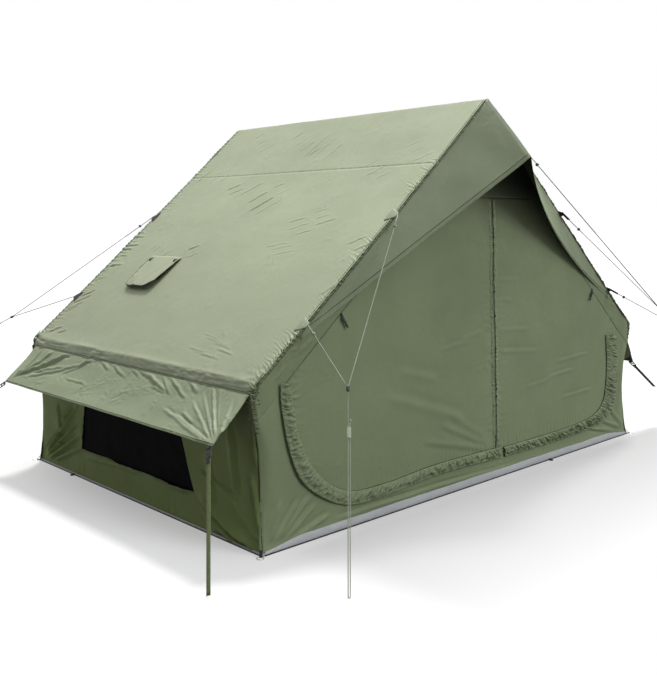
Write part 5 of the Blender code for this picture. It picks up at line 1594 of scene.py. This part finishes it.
def guy_lines():
    """Every taut line with its branch, stoppers, slip knots and loops."""
    starts = {}
    for side, end, upper_node, lower_node, slot in (
        ("left", "front", "long", "short", "pale_cord"),
        ("left", "rear", "long", "short", "dark_cord"),
        ("right", "front", "upper", "lower", "dark_cord"),
    ):
        corner = f"{end}_{side}"
        join = JOINS[corner]
        upper, lower = (tab_end(side, end, x, join) for x in TAB_X.values())
        starts[f"{corner}_upper"] = upper
        starts[f"{corner}_lower"] = lower
        beyond = {"front_left": front_left_end(join), "rear_left": [REAR_LEFT_END]}.get(corner, [])
        line(f"{corner}_line", f"{corner}_guy_{upper_node}", [upper, join] + beyond, slot)
        line(f"{corner}_branch", f"{corner}_guy_{lower_node}", [lower, branch_end(lower, join, upper)], slot)
        if corner == "front_left":
            down = (FRONT_LEFT_GROUND - join).normalized()
            bead("front_left_stopper", join + down * 0.004, down, 0.0075)
        elif corner == "rear_left":
            bead("rear_left_stopper", join, REAR_LEFT_END - join, 0.0070)
        else:
            for level, first in (("upper", upper), ("lower", lower)):
                way = (join - first).normalized()
                path = [np.array(first + way * t) for t in np.linspace(-0.014, 0.050, 9)]
                flat_band(f"{corner}_{level}_loop", path, (math.cos(PITCH), 0, -math.sin(PITCH)), 0.024, 0.0024,
                          BLACK_WEB, "tent", "black_plastic")
    start = VISOR_TIP + (TIP_END - VISOR_TIP).normalized() * 0.0009
    line("visor_tip_line", "visor_tip_guy", [start, TIP_END], "dark_cord")
    for corner, level, share, slot in (
        ("front_left", "upper", 0.07, "pale_cord"),
        ("front_left", "lower", 0.13, "pale_cord"),
        ("rear_left", "upper", 0.09, "black_plastic"),
        ("front_right", "upper", 0.13, "black_plastic"),
        ("front_right", "lower", 0.20, "black_plastic"),
    ):
        first = starts[f"{corner}_{level}"]
        knot(f"{corner}_{level}_slip_knot", first.lerp(JOINS[corner], share), JOINS[corner] - first, slot,
             SLIP_KNOT_SIZE)
    knot("visor_tip_slip_knot", start.lerp(TIP_END, 0.05), TIP_END - start, "dark_cord", SLIP_KNOT_SIZE)


def guy_tabs():
    """Webbing loops on the roof's edges that the lines start from."""
    for side, sign in SIDES.items():
        down = np.array((sign * math.cos(PITCH), 0, -math.sin(PITCH)))
        out = np.array((sign * math.sin(PITCH), 0, math.cos(PITCH)))
        for end, face in ENDS.items():
            pale = (side, end) == ("left", "front")
            look, slot = (PALE, "roof_fabric") if pale else (BLACK_WEB, "black_plastic")
            for level, x in TAB_X.items():
                root = np.array((sign * x, face * BACK, float(roof_z(x, SHEET / 2)))) + out * 0.0028
                tip = root + ACROSS * face * TAB_REACH - out * 0.0022
                base = root - ACROSS * face * TAB_BACK
                rows = []
                for t in np.linspace(0, 1, 12):
                    half = TAB_BACK * (1 - t) ** 0.8 + TAB_TIP_HALF
                    middle = base * (1 - t) + tip * t
                    places = np.linspace(-1, 1, 9)
                    rows.append([middle + down * half * u + out * 0.0016 * (1 - u * u) for u in places])
                grid(f"{end}_{side}_{level}_tab", np.array(rows), look, "tent", slot, (), 0.0012,
                     flip=sign * face > 0)


guy_lines()
guy_tabs()


# How far outside the eave and the gable each strap would meet the floor.
FOOT_OUT = {("left", "front"): (0.39, 0.21), ("right", "front"): (0.66, 0.10), "rear": (0.76, 0.50)}
BUCKLE_HALF = 0.018
BUCKLE_SEAT = 0.00085
STRAP_START = 0.0443
STRAP_WIDTH = 0.025
STRAP_SHARES = {("left", "front"): 1.0, ("left", "rear"): 0.3, ("right", "front"): 0.42}


def strap_frame(side, end):
    """The buckle's base point and directions, as the CAD places them."""
    sign = SIDES[side]
    face = ENDS[end]
    out_by, ahead = FOOT_OUT.get((side, end), FOOT_OUT["rear"])
    hinge, run, _ = awning_frame(side)
    corner = Vector(hinge + run * AWNING_DEPTH)
    corner.y = face * (BACK - 0.03 - BUCKLE_HALF)
    foot = Vector((sign * (EAVE_HALF + out_by), face * (BACK + ahead), 0))
    down = (foot - corner).normalized()
    width = (Vector((0, 1, 0)) - down * down.y).normalized()
    out = width.cross(down)
    run = Vector(run)
    seat = width * math.copysign(BUCKLE_HALF, width.dot(run)) + out * math.copysign(0.002, out.dot(run))
    base = corner + run * BUCKLE_SEAT + Vector((seat.x, 0, seat.z))
    return base, down, width, out, foot


def straps():
    """The webbing straps with their folded tails and the loops that hold their buckles."""
    for (side, end), share in STRAP_SHARES.items():
        base, down, width, out, foot = strap_frame(side, end)
        body = f"{end}_{side}_strap"
        olive = (side, end) == ("left", "front")
        look, slot = (OLIVE_WEB, "olive_webbing") if olive else (BLACK_WEB, "dark_webbing")
        stop = (foot - base).length * share - (0.0125 if share == 1.0 else 0)
        count = int(stop / 0.02)
        path = [np.array(base + down * place) for place in np.linspace(STRAP_START, stop, count + 1)]
        obj = flat_band(f"{end}_{side}_strap_web", path, width, STRAP_WIDTH, 0.0019, look, body, slot,
                        (f"{end}_{side}_awning_strap",))
        keep = [np.array(base + down * a + out * b) for a, b in
                ((0.036, 0.0035), (0.044, 0.0048), (0.054, 0.0034), (0.062, 0.0030), (0.068, 0.0034))]
        flat_band(f"{end}_{side}_strap_tail", smooth_path(keep, 0.004), width, 0.022, 0.0016, BLACK_WEB, body,
                  "black_plastic")
        loop = []
        for k in range(17):
            angle = math.pi * k / 16
            loop.append(np.array(base + down * (0.006 - 0.010 * math.sin(angle)) + out * 0.0046 * math.cos(angle)))
        flat_band(f"{end}_{side}_buckle_loop", loop, width, 0.024, 0.0014, BLACK_WEB, body, "black_plastic")


straps()


def awning_corners():
    """Black reinforcement sewn under each awning's outer corners."""
    for side, sign in SIDES.items():
        above = awning_frame(side)[2]
        for end, face in ENDS.items():
            rows = []
            for t in np.linspace(0, 1, 9):
                a = np.full(9, AWNING_DEPTH - 0.052 * (1 - t) - 0.001)
                spread = np.linspace(0, 1, 9) * 0.050 * t + 0.004
                rows.append(awning_at(side, a, face * (AWNING_HALF - spread)) - above * 0.0022)
            grid(f"{end}_{side}_awning_patch", np.array(rows), BLACK_WEB, f"{side}_awning", "black_plastic", (),
                 0.0008, flip=sign * face < 0)


awning_corners()


TIE_X = {"left": 1.015, "right": 1.04}


def door_ties():
    """Toggle ties that hold a rolled leaf: a webbing loop with a dark toggle."""
    for side, sign in SIDES.items():
        x = sign * TIE_X[side]
        top = door_seam(x) - 0.022
        y = FRONT - 0.006
        path = [(x + sign * out, y + back, top + rise) for out, back, rise in
                ((0.024, 0.003, 0.012), (0.021, -0.001, 0), (0.010, -0.003, -0.020), (-0.002, -0.003, -0.034))]
        flat_band(f"{side}_tie_web", smooth_path(path, 0.005), (1, 0, 0.2), 0.010, 0.0016, BLACK_WEB,
                  f"{side}_door", "black_plastic")
        t = np.linspace(-1, 1, 13)
        start = np.array((x + sign * 0.024, y - 0.004, top - 0.006))
        finish = np.array((x - sign * 0.012, y - 0.006, top - 0.058))
        path = start + (finish - start) * ((t + 1) / 2)[:, None]
        radius = 0.0058 * np.sqrt(np.maximum(1 - t ** 6, 0.04)) * (1 - 0.25 * np.exp(-(t / 0.3) ** 2))
        tube(f"{side}_tie_toggle", path, radius, BLACK, f"{side}_door", "black_plastic", 10,
             (f"{side}_door_tie",))


door_ties()


# CAD pieces that stay
def dress(names, look):
    """Give CAD pieces that stay a look of their own."""
    for name in names:
        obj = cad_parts[name]
        for slot in obj.material_slots:
            slot.material = look
        if not obj.material_slots:
            obj.data.materials.append(look)


dress(["inflation_valve", "inflation_valve_cap", "deflation_valve", "deflation_valve_cap", "door_zip_slider",
       "front_left_awning_buckle", "rear_left_awning_buckle", "front_right_awning_buckle",
       "rear_right_awning_buckle"], BLACK)
dress([f"{end}_{side}_peg_ring" for end in ENDS for side in SIDES], STEEL)
dress(["guy_tensioner"], PALE_PLASTIC)


# Stage and light
FLOOR_HALF = 60.0
# Where the painted shadow before the door is darkest and where it ends.
PAINTED_SHADOW_NEAR_Y = -1.15
PAINTED_SHADOW_FAR_Y = -2.05


def stage_floor():
    """A pale floor that stays white to the camera, with a painted shadow: a grey zone round the tent."""
    corners = [(x * FLOOR_HALF, y * FLOOR_HALF, 0) for x, y in ((-1, -1), (1, -1), (1, 1), (-1, 1))]
    mesh = bpy.data.meshes.new("floor")
    mesh.from_pydata(corners, [], [(0, 1, 2, 3)])
    floor = bpy.data.objects.new("floor", mesh)
    bpy.context.scene.collection.objects.link(floor)
    look = Look("floor")
    mesh.materials.append(look.finish((0.10, 0.10, 0.10, 1), 0.9, specular=0.1))
    place = look.add("SeparateXYZ", {0: look.where}).outputs
    reach = look.add("VectorMath", {0: look.where}, operation="LENGTH").outputs["Value"]
    # Painted shadow: lower glow, and a lower share of it, in a zone before the door that fades out towards the far
    # Y, and in a ring round the tent.
    front = look.ramp(place["Y"], -1.16, -1.04, 1.0, 0.0, "SMOOTHSTEP")
    for limits in ((-1.65, -1.20, 0.0, 1.0), (1.60, 2.80, 1.0, 0.0)):
        front = look.math("MULTIPLY", front, look.ramp(place["X"], *limits, "SMOOTHSTEP"))
    painted_shadow_ring = look.ramp(reach, 1.35, 2.0, 0.69, 1.0, "SMOOTHSTEP")
    before = look.ramp(place["Y"], PAINTED_SHADOW_FAR_Y, PAINTED_SHADOW_NEAR_Y, 1.0, 0.59)
    share = look.ramp(place["Y"], PAINTED_SHADOW_FAR_Y, PAINTED_SHADOW_NEAR_Y, 1.0, 0.755)
    glow = look.add("Emission", {"Color": (1, 1, 1, 1), "Strength": look.blend(front, painted_shadow_ring, before)})
    plain = look.add("BsdfDiffuse", {"Color": (0.86, 0.862, 0.868, 1)})
    seen = look.add("MixShader", {"Fac": look.blend(front, 0.42, share), 1: plain.outputs["BSDF"],
                                  2: glow.outputs["Emission"]})
    mix = look.add("MixShader", {"Fac": look.in_view(), 1: look.shader.outputs["BSDF"], 2: seen.outputs["Shader"]})
    look.put(look.tree.nodes["Material Output"].inputs["Surface"], mix.outputs["Shader"])


def stage_light():
    """A world that is white in view and dim as a light, and three soft suns."""
    world = bpy.data.worlds.new("world")
    bpy.context.scene.world = world
    world.use_nodes = True
    nodes = Nodes(world.node_tree)
    sky = nodes.mix(nodes.in_view(), (0.155, 0.157, 0.155), (1, 1, 1))
    nodes.put(nodes.tree.nodes["Background"].inputs["Color"], sky)
    for name, strength, spread, toward, colour in (
        ("key_light", 2.55, 10.0, Vector((-0.36, -0.24, -1.0)), (1.0, 0.99, 0.97)),
        ("top_light", 1.35, 84.0, Vector((-0.05, -0.10, -1.0)), (1.0, 1.0, 1.0)),
        ("front_light", 1.12, 26.0, Vector((-0.46, 1.0, -0.62)), (0.98, 0.99, 1.0)),
    ):
        sun = bpy.data.lights.new(name, "SUN")
        sun.energy = strength
        sun.angle = math.radians(spread)
        sun.color = colour
        lamp = bpy.data.objects.new(name, sun)
        bpy.context.scene.collection.objects.link(lamp)
        lamp.rotation_mode = "QUATERNION"
        lamp.rotation_quaternion = toward.to_track_quat("-Z", "Y")


stage_floor()
stage_light()
bpy.context.scene.view_settings.view_transform = "Standard"
